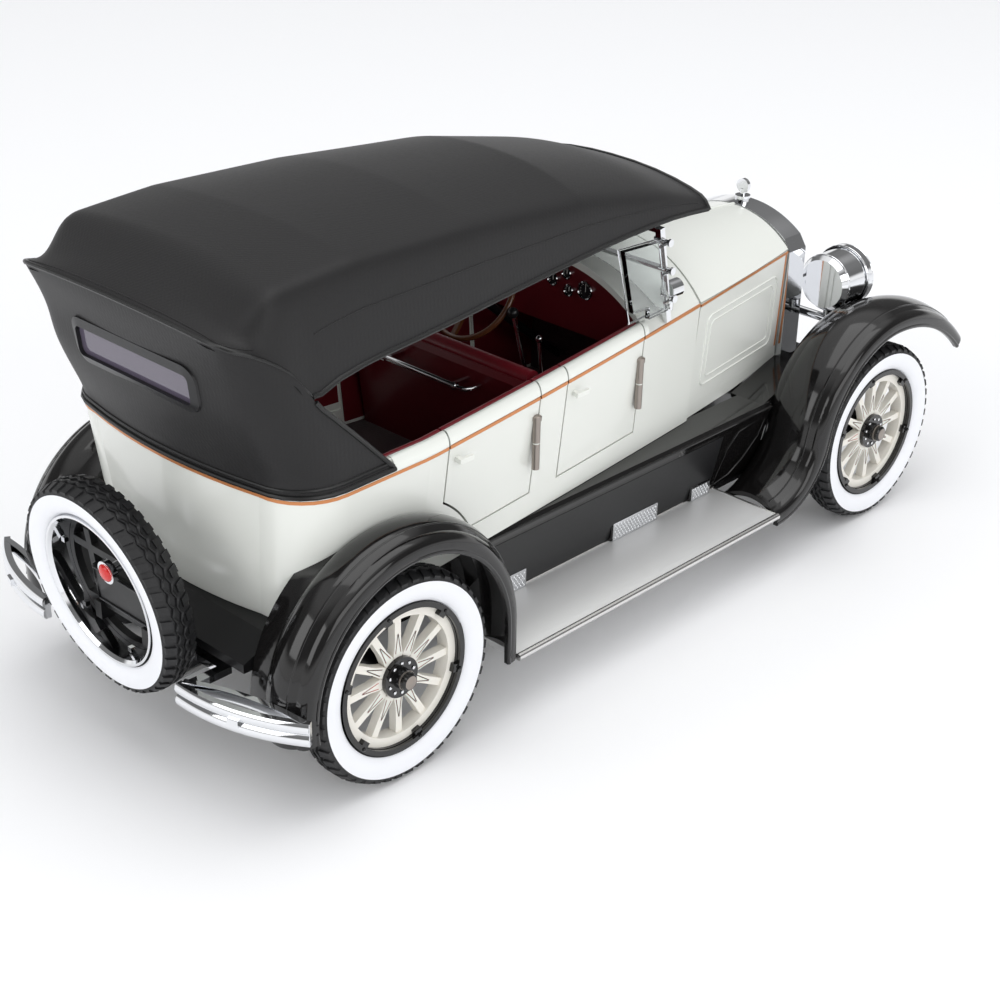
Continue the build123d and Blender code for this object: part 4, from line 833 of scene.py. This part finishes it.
stripe_ring = [(-0.09, -0.34), (-0.10, -0.05), (-0.07, 0.2), (0.3, 0.2), (0.3, -0.34)]
rail_ring = [(0.02, 0.24), (-0.10, 0.42), (0.0, 1.0), (0.24, 1.65), (0.60, 2.16), (1.0, 2.42), (1.45, 2.42),
             (1.78, 2.2), (1.6, 1.6), (1.2, 0.24)]
roll_ring = [(2.34 + 0.72 * cos(2 * pi * k / 12), 1.62 + 0.74 * sin(2 * pi * k / 12)) for k in range(12)]
liner_ring = [(1.72, 0.9), (1.72, -8.0), (1.95, -8.0), (1.95, 0.9)]
line_ring = [(-0.06, 0.24), (-0.06, 0.44), (0.3, 0.44), (0.3, 0.24)]
gap = 0.35
trim_low = 33.2
trim_arch = 26.6
trim_thick, liner_thick = 0.22, 0.2
belt_panels = [
    # Name, body without its side, x from, x to
    ("cowl", None, front_door_x[1], seam_x),
    ("front_door", "door_front", front_door_x[0] + gap, front_door_x[1] - gap),
    ("pillar", None, rear_door_x[1], front_door_x[0]),
    ("rear_door", "door_rear", rear_door_x[0] + gap, rear_door_x[1] - gap),
]
wall_linings = [
    # Name, x from, x to, head height
    ("post", rear_door_x[1] + 0.1, front_door_x[0] - 0.1, 50.8),
    ("foot", front_door_x[1] + 0.3, seam_x - 2.4, 49.4),
    ("quarter", -60.5, rear_door_x[0] - 0.1, 50.6),
]


def door_foot(x, door):
    """Lower edge of a door's lining, which clears the rear wheel's arch."""
    arch = rear_arch[1] + sqrt(max(0.0, trim_arch**2 - (x - rear_arch[0]) ** 2))
    low = max(trim_low, arch) if door == "door_rear" else trim_low
    return lining_at(x, low), low


for tag, side in both:
    for panel, door, x0, x1 in belt_panels:
        body = f"{door}_{tag}" if door else "car"
        belt_bar(f"stripe_{panel}_{tag}", stripe_ring, x0, x1, side, copper_line, body)
        belt_bar(f"rail_{panel}_{tag}", rail_ring, x0, 9.2 if panel == "cowl" else x1, side, ivory_trim, body)
        if panel != "cowl":
            belt_bar(f"roll_{panel}_{tag}", roll_ring, x0, x1, side, maroon_leather, body)
        if door:
            lining(f"trim_{panel}_{tag}", evenly(x0 + 0.5, x1 - 0.5, 8), lambda x: door_foot(x, door),
                   lambda x: (half_at(x, 1) - 1.76, belt_at(x) + 1.1), trim_thick, side, body)
    belt_bar(f"rail_quarter_{tag}", rail_ring, -57.4, rear_door_x[0], side, ivory_trim)
    belt_bar(f"roll_quarter_{tag}", roll_ring, -66.0, rear_door_x[0], side, maroon_leather)
    for part, x0, x1, high in wall_linings:
        lining(f"{part}_liner_{tag}", evenly(x0, x1, 5), lambda x: (lining_at(x, 29.2), 29.2),
               lambda x: (lining_at(x, high), high), liner_thick, side)
tail_bar("stripe_tail", stripe_ring, rear_door_x[0], copper_line)
tail_bar("line_tail", line_ring, rear_door_x[0], ivory_trim)
tail_bar("liner_tail", liner_ring, rear_door_x[0] - 0.3, maroon_panel)

# Bonnet: the stripe runs on to the radiator, the side panels carry a pressed double frame, and their foot
# turns down to the ledge in front of a dark skirt

bonnet_x = (26.95, 60.7)
bonnet_foot_z = 29.5
bonnet_foot_half = (17.8, 13.0)
bonnet_belt_half = (seam_half[1], 14.0)


def bonnet_side_y(x, z):
    """Outer face of the bonnet's side panel."""
    share = (x - bonnet_x[0]) / (bonnet_x[1] - bonnet_x[0])
    lower, upper = (low + (high - low) * share for low, high in (bonnet_foot_half, bonnet_belt_half))
    return lower + (upper - lower) * (z - bonnet_foot_z) / (belt_at(x) - bonnet_foot_z)


def stripe_section(x):
    """The copper stripe on the bonnet."""
    z = belt_at(x)
    y = bonnet_side_y(x, z)
    return [(y + 0.08, z - 0.55), (y + 0.10, z - 0.05), (y - 0.3, z - 0.05), (y - 0.3, z - 0.55)]


def foot_section(x):
    """The turned-down foot, which rises with the ledge."""
    y, low = bonnet_side_y(x, 29.6), 27.0 + 1.3 * max(0.0, (x - 45.0) / 16.0)
    return [(y + 0.02, 29.7), (y - 0.12, low), (y - 0.6, low), (y - 0.5, 29.7)]


def skirt_section(x):
    """The dark skirt behind the foot."""
    y = bonnet_side_y(x, 29.6)
    return [(y - 0.5, 29.4), (y - 0.5, 24.0), (y - 1.2, 24.0), (y - 1.2, 29.4)]


press_frames = (("outer", (30.5, 32.5), (57.5, 46.8), 1.6, 0.2),
                ("inner", (32.0, 34.0), (56.0, 45.3), 1.2, 0.16))
for tag, side in both:
    swept(f"stripe_bonnet_{tag}", evenly(*bonnet_x, 8), stripe_section, side, copper_line)
    rings = []
    for z in (31.0, 36.0, 41.0, 46.0, 50.2):
        y = bonnet_side_y(60.2, z)
        rings.append(sided([(59.95, y + 0.12, z), (60.45, y + 0.05, z), (60.45, y - 0.3, z),
                            (59.95, y - 0.3, z)], side))
    lofted(f"stripe_bonnet_end_{tag}", rings, copper_line)
    for part, low, high, corner, radius in press_frames:
        line = [(x, bonnet_side_y(x, z), z) for x, z in rounded(low, high, corner, 4)]
        tube(f"bonnet_press_{part}_{tag}", sided(line, side), radius, ivory_paint, closed=True, sides=8)
    swept(f"bonnet_foot_{tag}", evenly(*bonnet_x, 6), foot_section, side, ivory_paint)
    swept(f"bonnet_skirt_{tag}", evenly(*bonnet_x, 6), skirt_section, side, black_gloss)

# Door hinge barrels, each in two halves under a cap
barrel = [(0.0, 0.0), (0.0, 0.66), (4.55, 0.66), (4.6, 0.5), (4.75, 0.5), (4.8, 0.66), (8.7, 0.66),
          (8.75, 0.82), (9.4, 0.82), (9.6, 0.5), (9.65, 0.0)]
for door, hinge_x in (("door_front", front_door_x[1] - 1.0), ("door_rear", rear_door_x[1] - 1.0)):
    for tag, side in both:
        place = axis_place((hinge_x, side * (half_at(hinge_x, 1) - 0.1), 37.1), (0, 0, 1))
        turned(f"hinge_barrel_{door}_{tag}", barrel, place, hinge_metal, f"{door}_{tag}", steps=20)

# Fenders: a rolled rim along the outer edge and a raised bead beside it

board_edge_z = board_z - 0.8
rise_x = board_x[1] + 0.2


def arc_path(centre, radius, start, end, steps):
    """Points of an arc."""
    return [(centre[0] + radius * cos(a), centre[1] + radius * sin(a)) for a in evenly(start, end, steps)]


def front_line():
    """The front fender's path from the running board to its tip."""
    crest_x, crest_z, radius = front_arch
    nose_x, nose_z = front_arch_nose
    top_z = crest_z + radius
    nose_radius = ((nose_x - crest_x) ** 2 + (top_z - nose_z) ** 2) / (2 * (top_z - nose_z))
    run, drop = crest_x - rise_x, crest_z - board_edge_z
    rise_radius = (run**2 + drop**2 - radius**2) / (2 * (radius + drop))
    centre = (rise_x, board_edge_z + rise_radius)
    reach = hypot(run, centre[1] - crest_z)
    meet = (crest_x - radius * run / reach, crest_z + radius * (centre[1] - crest_z) / reach)
    turn = atan2(meet[1] - centre[1], meet[0] - centre[0])
    start = atan2(meet[1] - crest_z, meet[0] - crest_x)
    nose_centre = (crest_x, top_z - nose_radius)
    end = atan2(nose_z - nose_centre[1], nose_x - crest_x)
    return (arc_path(centre, rise_radius, -pi / 2, turn, 14)
            + arc_path((crest_x, crest_z), radius, start, pi / 2, 16)[1:]
            + arc_path(nose_centre, nose_radius, pi / 2, end, 14)[1:])


def rear_line():
    """The rear fender's path from the running board to its tail."""
    arch_x, arch_z, radius = rear_arch
    upright = [(arch_x + radius, z) for z in evenly(board_edge_z, arch_z, 4)[:-1]]
    return upright + arc_path((arch_x, arch_z), radius, 0.0, radians(188), 36)


def fender_cord(name, line, turn, y, lift, radius, side):
    """A cord along a fender at y, lifted square to its path; turn is +1 or -1 for the path's outer side."""
    points = []
    for k, (x, z) in enumerate(line):
        (ax, az), (bx, bz) = line[max(k - 1, 0)], line[min(k + 1, len(line) - 1)]
        length = hypot(bx - ax, bz - az) * turn
        points.append((x - (bz - az) / length * lift, side * y, z + (bx - ax) / length * lift))
    tube(name, points, radius, black_gloss)


bead_y = 33.4
for tag, side in both:
    for end, line, turn, middle in (("front", front_line(), 1, 29.8), ("rear", rear_line(), -1, 31.2)):
        fender_cord(f"{end}_fender_rim_{tag}", line, turn, fender_edge_y - 0.25, -1.45, 0.42, side)
        bead_lift = 2.54 - 1.3 * ((bead_y - middle) / (34.6 - middle)) ** 2
        fender_cord(f"{end}_fender_bead_{tag}", line[1:-1], turn, bead_y, bead_lift, 0.2, side)

# Side aprons: a bead along the ledge, a satin panel, and a pressed three-cornered field by the front fender


def apron_y(z):
    """Outer face of the apron's upright panel."""
    head_y, foot_y = apron_ledge[0] - 0.4, board_inner_y - 0.05
    return head_y + (foot_y - head_y) * (24.8 - z) / (24.8 - 11.0)


panel_low, panel_high = 12.2, 24.2
panel_corners = ((panel_high, 0.06), (panel_low, 0.06), (panel_low, -0.3), (panel_high, -0.3))
panel_section = [(apron_y(z) + out, z) for z, out in panel_corners]
apron_field = [(32.2, 12.8), (33.5, 20.0), (36.0, 23.6), (41.5, 24.3), (44.2, 23.9), (43.0, 20.0),
               (40.0, 16.0), (36.5, 13.6)]
for tag, side in both:
    bead = [(x, side * (apron_ledge[0] - 0.05), apron_ledge[1]) for x in (-36.2, 0, 20, 45.0)]
    tube(f"apron_bead_{tag}", bead, 0.34, black_gloss)
    swept(f"apron_panel_{tag}", (-36.2, -10.0, 15.0, 31.0), lambda x: panel_section, side, black_satin)
    press = [(x, side * (apron_y(z) + 0.02), z) for x, z in apron_field]
    tube(f"apron_press_{tag}", press, 0.16, black_gloss, closed=True)

# Running boards: plain boards with bright rolled edges, an inner strip, and quilted scuff plates on blocks
stud_profile = [(0.0, 0.0), (0.0, 0.3), (0.1, 0.24), (0.16, 0.12), (0.18, 0.0)]
stud_one = take_mesh(turned("stud", stud_profile, flat_axis, plate_metal, None, steps=8))
stud_right = stud_one.copy()
stud_right.transform(Matrix.Rotation(pi, 4, "Z"))
scuff_rows = [
    # Rear end, front end, height
    (-32.9, -20.5, 3.6),
    (2.3, 14.7, 3.6),
    (24.8, 30.2, 2.6),
]
scuff_y = board_inner_y + 0.95
scuff_face = scuff_y + 0.28
stud_pitch, stud_rise = 0.8, 0.58


def bevelled_box(name, low, high, side, width, finish):
    """A box with rounded edges on one side of the car."""
    (x0, y0, z0), (x1, y1, z1) = low, high
    near, far = sorted((side * y0, side * y1))
    obj = new_object(name, box_mesh(name, (x0, near, z0), (x1, far, z1)))
    round_edges = obj.modifiers.new("edges", "BEVEL")
    round_edges.width = width * MM
    round_edges.segments = 2
    apply_modifiers(obj)
    return finish_piece(obj, finish)


for tag, side in both:
    board = bevelled_box(f"board_{tag}", (board_x[0], board_inner_y, board_z - 1.1),
                         (board_x[1], fender_edge_y, board_z), side, 0.12, board_metal)
    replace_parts(board, "running_boards")
    edge = [(x, fender_edge_y - 0.05, board_z - 0.45)
            for x in (board_x[0] - 0.1, -20, 0, 20, board_x[1] + 0.1)]
    tube(f"board_edge_{tag}", sided(edge, side), 0.62, board_edge_metal, sides=14)
    front = [(board_x[1] - 0.1, y, board_z - 0.1) for y in (board_inner_y + 0.2, 36.0)]
    tube(f"board_front_{tag}", sided(front, side), 0.26, board_edge_metal)
    strip = [(x, board_inner_y + 0.35, board_z) for x in (-37.0, 0, board_x[1])]
    tube(f"board_inner_{tag}", sided(strip, side), 0.24, board_edge_metal)
    studs = []
    for k, (x0, x1, height) in enumerate(scuff_rows):
        bevelled_box(f"scuff_plate_{k}_{tag}", (x0, scuff_y, board_z + 0.02),
                     (x1, scuff_face, board_z + height), side, 0.12, plate_metal)
        bevelled_box(f"scuff_block_{k}_{tag}", (x0 - 0.25, board_inner_y + 0.1, board_z + 0.02),
                     (x1 + 0.25, scuff_y, board_z + height + 0.35), side, 0.1, black_gloss)
        across, up = int((x1 - x0 - 0.8) / stud_pitch), int((height - 0.8) / stud_rise)
        for j in range(up + 1):
            x_first, count = (x0 + 0.65, across + 1) if j % 2 == 0 else (x0 + 1.05, across)
            studs += [(x_first + stud_pitch * i, side * scuff_face, board_z + 0.55 + stud_rise * j)
                      for i in range(count)]
    at_points(f"scuff_studs_{tag}", studs, stud_one if side > 0 else stud_right, plate_metal, angle=60)

# Seats: pleated, crowned pads on plain bases, each with a rolled top edge


def pad(name, place, size, crown=0.6, pleats=12):
    """A sewn pad: length, width and thickness about the place, crowned on its +Z face."""
    length, width, thickness = size
    upper, lower = [], []
    for u in evenly(-1, 1, 20):
        top_row, low_row = [], []
        for v in evenly(-1, 1, 90):
            edge = ((1 - u**4) * (1 - v**12)) ** 0.45
            x = u * length / 2 * (1 - 0.03 * (1 - v * v))
            y = v * width / 2 * (1 - 0.025 * (1 - u * u))
            channel = abs(sin(pi * pleats * (v + 1) / 2)) ** 0.5
            high = thickness / 2 * edge + (crown * (1 - u * u) + 0.45 * channel * (1 - u**6)) * (1 - v**8)
            top_row.append(tuple(place @ Vector((x, y, high))))
            low_row.append(tuple(place @ Vector((x, y, -thickness / 2 * edge))))
        upper.append(top_row)
        lower.append(low_row)
    mesh = bpy.data.meshes.new(name)
    with editing(mesh, grid_mesh(name, upper), grid_mesh(name, lower)):
        pass
    tidy_mesh(mesh)
    obj = finish_piece(new_object(name, mesh), maroon_leather, angle=60)
    return obj


def leaning(x, z, lean):
    """Place of a pad whose width runs across the car and whose face leans back by degrees."""
    return Matrix.Translation((x, 0, z)) @ Matrix.Rotation(radians(lean), 4, "Y")


seat_plans = [
    # Name, cushion middle and size, back middle, lean and size, top roll, base x, shell head, half width
    ("front_seat", (-8.9, 36.2), (13.4, 41.0, 3.6), (-16.7, 43.6), -97.0, (13.2, 41.5, 3.0), (-18.7, 49.7),
     (-15.6, -2.9), (-21.0, 50.2), 20.2),
    ("rear_seat", (-50.4, 36.9), (16.4, 43.0, 3.8), (-61.6, 44.4), -112.0, (14.2, 43.5, 3.4), (-65.6, 50.0),
     (-58.0, -42.8), (-67.6, 50.3), 21.4),
]
about_turn = Matrix.Rotation(pi, 4, "Z")
for seat, middle, size, back, lean, back_size, (rx, rz), (x0, x1), (head_x, head_z), half in seat_plans:
    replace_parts(pad(f"{seat}_cushion", leaning(*middle, -3.0), size), seat)
    pad(f"{seat}_back", leaning(*back, lean + 180.0) @ about_turn, back_size)
    base = box_mesh("base", (x0, -half, 28.4), (x1, half, 35.0))
    finish_piece(new_object(f"{seat}_base", base), maroon_panel)
    low_x = head_x + 2.6
    ring = [(low_x, 28.4), (head_x, head_z - 1.6), (head_x + 0.6, head_z - 0.5), (head_x + 3.2, head_z - 1.0),
            (low_x + 2.4, 34.0), (low_x + 1.8, 28.4)]
    lofted(f"{seat}_shell", [[(x, y, z) for x, z in ring] for y in (-half - 0.6, half + 0.6)], maroon_panel)
    roll_path = [(rx, y, rz) for y in (-half - 0.4, -half + 0.6, -8.0, 8.0, half - 0.6, half + 0.4)]
    tube(f"{seat}_roll", roll_path, 1.5, maroon_leather, sides=18)

# Carpet and toe board
carpet_z = (28.32, 28.6)
toe_z = (28.6, 47.0)


def carpet_section(x):
    """The carpet's section, from wall to wall."""
    half = half_at(x, 0) - body_wall - 0.15
    low, high = carpet_z
    return [(-half, low), (half, low), (half, high), (-half, high)]


swept("carpet", evenly(-57.0, 22.0, 12), carpet_section, 1, maroon_carpet)
toe_rings = []
for x in (21.8, 22.1):
    foot_half, head_half = (lining_at(x, z) - 0.1 for z in toe_z)
    toe_rings.append([(x, -foot_half, toe_z[0]), (x, foot_half, toe_z[0]), (x + 1.2, head_half, toe_z[1]),
                      (x + 1.2, -head_half, toe_z[1])])
lofted("toe_board", toe_rings, maroon_carpet)

# Dash: four gauges with bright bezels, and the controls' knobs
nodes["dash"].data.materials[0] = maroon_panel
nodes["rear_window"].data.materials[0] = window_pane
for k, (y, z, r) in enumerate(((-6.2, 53.6, 1.75), (-1.7, 55.7, 1.15), (-2.3, 52.6, 1.15), (1.6, 53.8, 1.3))):
    place = axis_place((10.6, y, z), (-1, 0, 0))
    bezel = [(0.0, r), (0.45, r), (0.6, r - 0.16), (0.45, r - 0.34), (0.1, r - 0.36), (0.0, r - 0.36)]
    turned(f"bezel_{k}", bezel, place, bright_plate, steps=32)
    turned(f"dial_{k}", [(0.02, r - 0.3), (0.2, r - 0.3), (0.2, 0.0)], place, dial_black, steps=32)
    hand = box_mesh("needle", (10.33, y - 0.07, z - 0.15 * r), (10.39, y + 0.07, z + 0.62 * r))
    finish_piece(new_object(f"needle_{k}", hand), dial_mark)
    ticks = [(10.36, y + 0.66 * r * cos(radians(a)), z + 0.66 * r * sin(radians(a)))
             for a in range(-40, 221, 26)]
    tick = box_mesh("tick", (-0.03, -0.06, -0.06), (0.03, 0.06, 0.06))
    at_points(f"dial_marks_{k}", ticks, tick, dial_mark)
for name, spot, r, finish in (("gear_knob", (-1.7, 0.0, 50.9), 1.0, dial_black),
                              ("brake_grip", (1.6, -3.4, 46.0), 0.7, bright_plate)):
    ball = [(-r * cos(pi * k / 10), r * sin(pi * k / 10)) for k in range(11)]
    turned(name, ball, axis_place(spot, (0, 0, 1)), finish, steps=20, angle=60)
bend = [(-24.5, 8.8, 46.5), (-24.45, 9.6, 46.45), (-24.0, 10.4, 46.35), (-23.1, 10.9, 46.3),
        (-21.0, 11.0, 46.3)]
for tag, side in both:
    tube(f"robe_rail_end_{tag}", sided(bend, side), 0.42, bright_plate, sides=12)
    turned(f"robe_rail_ring_{tag}", [(0.0, 0.0), (0.0, 0.75), (0.8, 0.75), (0.8, 0.0)],
           axis_place((-24.5, side * 8.2, 46.5), (0, side, 0)), bright_plate, steps=16)

# Tail: the lamp's red lens, the blank plate's rim, and the two-bar bumperettes with their clamps
lamp_place = spare_place @ Matrix.Translation((-2.0, 0.0, 3.8)) @ Matrix.Rotation(-pi / 2, 4, "X")
turned("tail_lens", [(1.35, 0.0), (1.35, 1.5), (1.6, 1.42), (1.85, 1.1), (2.0, 0.6), (2.04, 0.0)], lamp_place,
       lamp_red, steps=32, angle=50)
plate_rim = [(-9.7, -4.7), (4.7, -4.7), (4.7, 1.1), (-9.7, 1.1)]
tube("plate_rim", [tuple(spare_place @ Vector((x, -0.52, z))) for x, z in plate_rim], 0.2, black_satin,
     closed=True)
bolt_ring = [Vector((11.35 * cos(radians(a)), -0.15, 11.35 * sin(radians(a)))) for a in range(20, 380, 60)]
at_points("carrier_bolts", [tuple(spare_place @ spot) for spot in bolt_ring],
          box_mesh("bolt", (-0.4, -0.4, -0.4), (0.4, 0.4, 0.4)), bright_plate)


def arc_through(a, b, c, steps=24):
    """Points of the circle's arc through three plan points."""
    cx, cy = circle_centre(a, b, c)
    start, end = (atan2(y - cy, x - cx) for x, y in (a, c))
    if end - start > pi:
        end -= 2 * pi
    if start - end > pi:
        end += 2 * pi
    return arc_path((cx, cy), hypot(a[0] - cx, a[1] - cy), start, end, steps)


def bar_along(name, path, ring, angle=35.0):
    """A bright bar along a plan path: ring holds (distance out to the rear, height)."""
    rings = []
    for k, (x, y) in enumerate(path):
        (ax, ay), (bx, by) = path[max(k - 1, 0)], path[min(k + 1, len(path) - 1)]
        length = hypot(bx - ax, by - ay)
        nx, ny = (by - ay) / length, -(bx - ax) / length
        if nx > 0:
            nx, ny = -nx, -ny
        rings.append([(x + nx * out, y + ny * out, z) for out, z in ring])
    lofted(name, rings, bright_plate, angle=angle)


bow_ring = [(-0.9, 20.3), (0.1, 20.3), (0.3, 21.1), (0.1, 21.9), (-0.9, 21.9)]
clamp_ring = [(0.0, 19.2), (0.85, 19.35), (0.85, 20.45), (0.0, 20.6)]
for tag, side in both:
    face = arc_through((-83.5, side * 38.9), (-88.6, side * 28.6), (-90.2, side * 17.1))
    for level, z0, z1 in (("lower", 18.0, 19.75), ("upper", 20.05, 21.8)):
        bar_along(f"bumperette_{level}_{tag}", face,
                  [(-0.9, z0), (0.1, z0 - 0.05), (0.42, z0 + 0.35), (0.52, (z0 + z1) / 2), (0.42, z1 - 0.35),
                   (0.1, z1 + 0.05), (-0.9, z1)], 50)
    bar_along(f"bumperette_clamp_{tag}", face[11:14], clamp_ring)
    bow = arc_through((-84.1, side * 38.0), (-85.7, side * 27.0), (-89.6, side * 17.6))
    bar_along(f"bumperette_bow_{tag}", bow, bow_ring, 50)

# Windscreen: bright clamps on the stanchions, and a bright edge round each wind wing
screen_foot, screen_head = (14.8, 53.0), (11.8, 68.6)
clamp_profile = [(-0.9, 0.0), (-0.9, 0.7), (0.6, 0.7), (0.7, 0.45), (2.0, 0.45), (2.1, 0.7), (2.5, 0.7),
                 (2.6, 0.0)]
wing = [(10.2, 21.7, 67.1), (0.2, 21.7, 67.6), (4.0, 21.7, 53.5), (13.2, 21.7, 54.1)]
for tag, side in both:
    for k, share in enumerate((0.18, 0.52, 0.86)):
        x, z = (foot + (head - foot) * share for foot, head in zip(screen_foot, screen_head))
        turned(f"screen_clamp_{k}_{tag}", clamp_profile, axis_place((x - 0.2, side * 21.0, z), (0, side, 0)),
               bright_plate, steps=16)
        arm = [(x - 0.2, side * 22.7, z), (x - 2.6, side * 22.7, z - 0.2)]
        tube(f"wing_arm_{k}_{tag}", arm, 0.5, bright_plate, flat=0.6)
    tube(f"wing_edge_{tag}", sided(wing, side), 0.2, bright_plate, closed=True, sides=8)

# Headlamps: a glass with a bright ring, and a bead at the back of each drum
lens = [(75.7, 0.0), (75.7, 5.3), (76.1, 5.2), (76.6, 4.2), (76.95, 2.2), (77.02, 0.0)]
lamp_y, lamp_z = 18.4, 43.6
lamp_rings = (("ring", 75.7, 5.62, 0.42), ("bead", 68.2, 5.5, 0.22), ("band", 73.9, 5.95, 0.2))
for tag, side in both:
    lens_place = axis_place((0, side * lamp_y, lamp_z), (1, 0, 0))
    turned(f"headlamp_glass_{tag}", lens, lens_place, lamp_glass, angle=60)
    for name, x, radius, thick in lamp_rings:
        turns = [2 * pi * k / 40 for k in range(40)]
        loop = [(x, side * lamp_y + radius * cos(a), lamp_z + radius * sin(a)) for a in turns]
        tube(f"headlamp_{name}_{tag}", loop, thick, bright_plate, closed=True, sides=8)

# Radiator: upright fins in front of the core
fins = [(64.2, y / 10, 0.0) for y in range(-120, 121, 6)]
at_points("radiator_fins", fins, box_mesh("fin", (-0.1, -0.12, 30.5), (0.25, 0.12, 49.8)), core_dark)

# Camera at the photograph's place, in metres: focal length 1825.5 pixels of a 1000 pixel frame
camera_data = bpy.data.cameras.new("camera")
camera_data.sensor_width = 36.0
camera_data.lens = 65.72
camera_data.shift_x = 0.0033
camera_data.shift_y = 0.0089
camera_data.clip_start = 0.01
camera_data.clip_end = 20.0
camera = bpy.data.objects.new("camera", camera_data)
bpy.context.scene.collection.objects.link(camera)
camera_roll = radians(1.0729)
forward = Vector((0.6422, 0.6111, -0.4627)).normalized()
right = forward.cross(Vector((0, 0, 1))).normalized()
up = right.cross(forward)
right, up = right * cos(camera_roll) + up * sin(camera_roll), up * cos(camera_roll) - right * sin(camera_roll)
turn = Matrix((right, up, -forward)).transposed()
camera.matrix_world = Matrix.Translation((-0.22121, -0.20581, 0.16895)) @ turn.to_4x4()
bpy.context.scene.camera = camera

# Floor: a pale sheet that keeps the object's shadow
reach = 2500
floor_corners = [(-reach, -reach, 0), (reach, -reach, 0), (reach, reach, 0), (-reach, reach, 0)]
floor = new_object("floor", mesh_from("floor", floor_corners, [(0, 1, 2, 3)]))
floor_paint = bpy.data.materials.new("floor_paint")
floor_paint.use_nodes = True
floor_shader = floor_paint.node_tree.nodes["Principled BSDF"].inputs
floor_shader["Base Color"].default_value = (0.93, 0.93, 0.935, 1)
floor_shader["Roughness"].default_value = 0.6
floor_shader["Specular IOR Level"].default_value = 0.1
floor.data.materials.append(floor_paint)

# World: even pale light; what is seen and mirrored is a pale horizon, a dim wall and a bright ceiling
world = bpy.data.worlds.new("studio")
bpy.context.scene.world = world
world.use_nodes = True
sky = world.node_tree
even_light = sky.nodes["Background"]
even_light.inputs["Color"].default_value = (0.97, 0.98, 1.0, 1)
even_light.inputs["Strength"].default_value = 0.82
way_out = sky.nodes.new("ShaderNodeTexCoord").outputs["Generated"]
height = node_in(sky, "ShaderNodeSeparateXYZ", Vector=way_out).outputs[2]
studio = node_in(sky, "ShaderNodeValToRGB", Fac=height)
studio.color_ramp.interpolation = "EASE"
studio.color_ramp.elements[0].color = (1, 1, 1, 1)
for place, level in ((0.10, 1.0), (0.24, 0.16), (0.58, 0.2), (0.80, 0.85)):
    studio.color_ramp.elements.new(place).color = (level, level, level, 1)
seen = node_in(sky, "ShaderNodeBackground", Color=studio.outputs[0], Strength=1.0)
rays = sky.nodes.new("ShaderNodeLightPath").outputs
shown = math_node(sky, "ADD", rays["Is Camera Ray"], rays["Is Glossy Ray"])
shown = math_node(sky, "ADD", shown, rays["Is Transmission Ray"], clamp=True)
choose = node_in(sky, "ShaderNodeMixShader", Fac=shown)
sky.links.new(even_light.outputs[0], choose.inputs[1])
sky.links.new(seen.outputs[0], choose.inputs[2])
sky.links.new(choose.outputs[0], sky.nodes["World Output"].inputs[0])


def area_light(name, place, aim_z, size, power):
    """A rectangular soft light, in metres and watts, aimed at a height over the origin."""
    data = bpy.data.lights.new(name, "AREA")
    data.shape = "RECTANGLE"
    data.size, data.size_y = size
    data.energy = power
    lamp = bpy.data.objects.new(name, data)
    bpy.context.scene.collection.objects.link(lamp)
    way = Vector((0, 0, aim_z)) - Vector(place)
    lamp.matrix_world = Matrix.Translation(Vector(place)) @ way.to_track_quat("-Z", "Y").to_matrix().to_4x4()


area_light("overhead", (0.05, -0.15, 0.9), 0.03, (0.9, 0.7), 2.4)
area_light("right_side", (-0.1, -0.95, 0.45), 0.03, (0.9, 0.4), 2.2)
area_light("rear_side", (-0.95, 0.1, 0.5), 0.04, (0.6, 0.5), 2.2)
bpy.context.scene.view_settings.view_transform = "Standard"
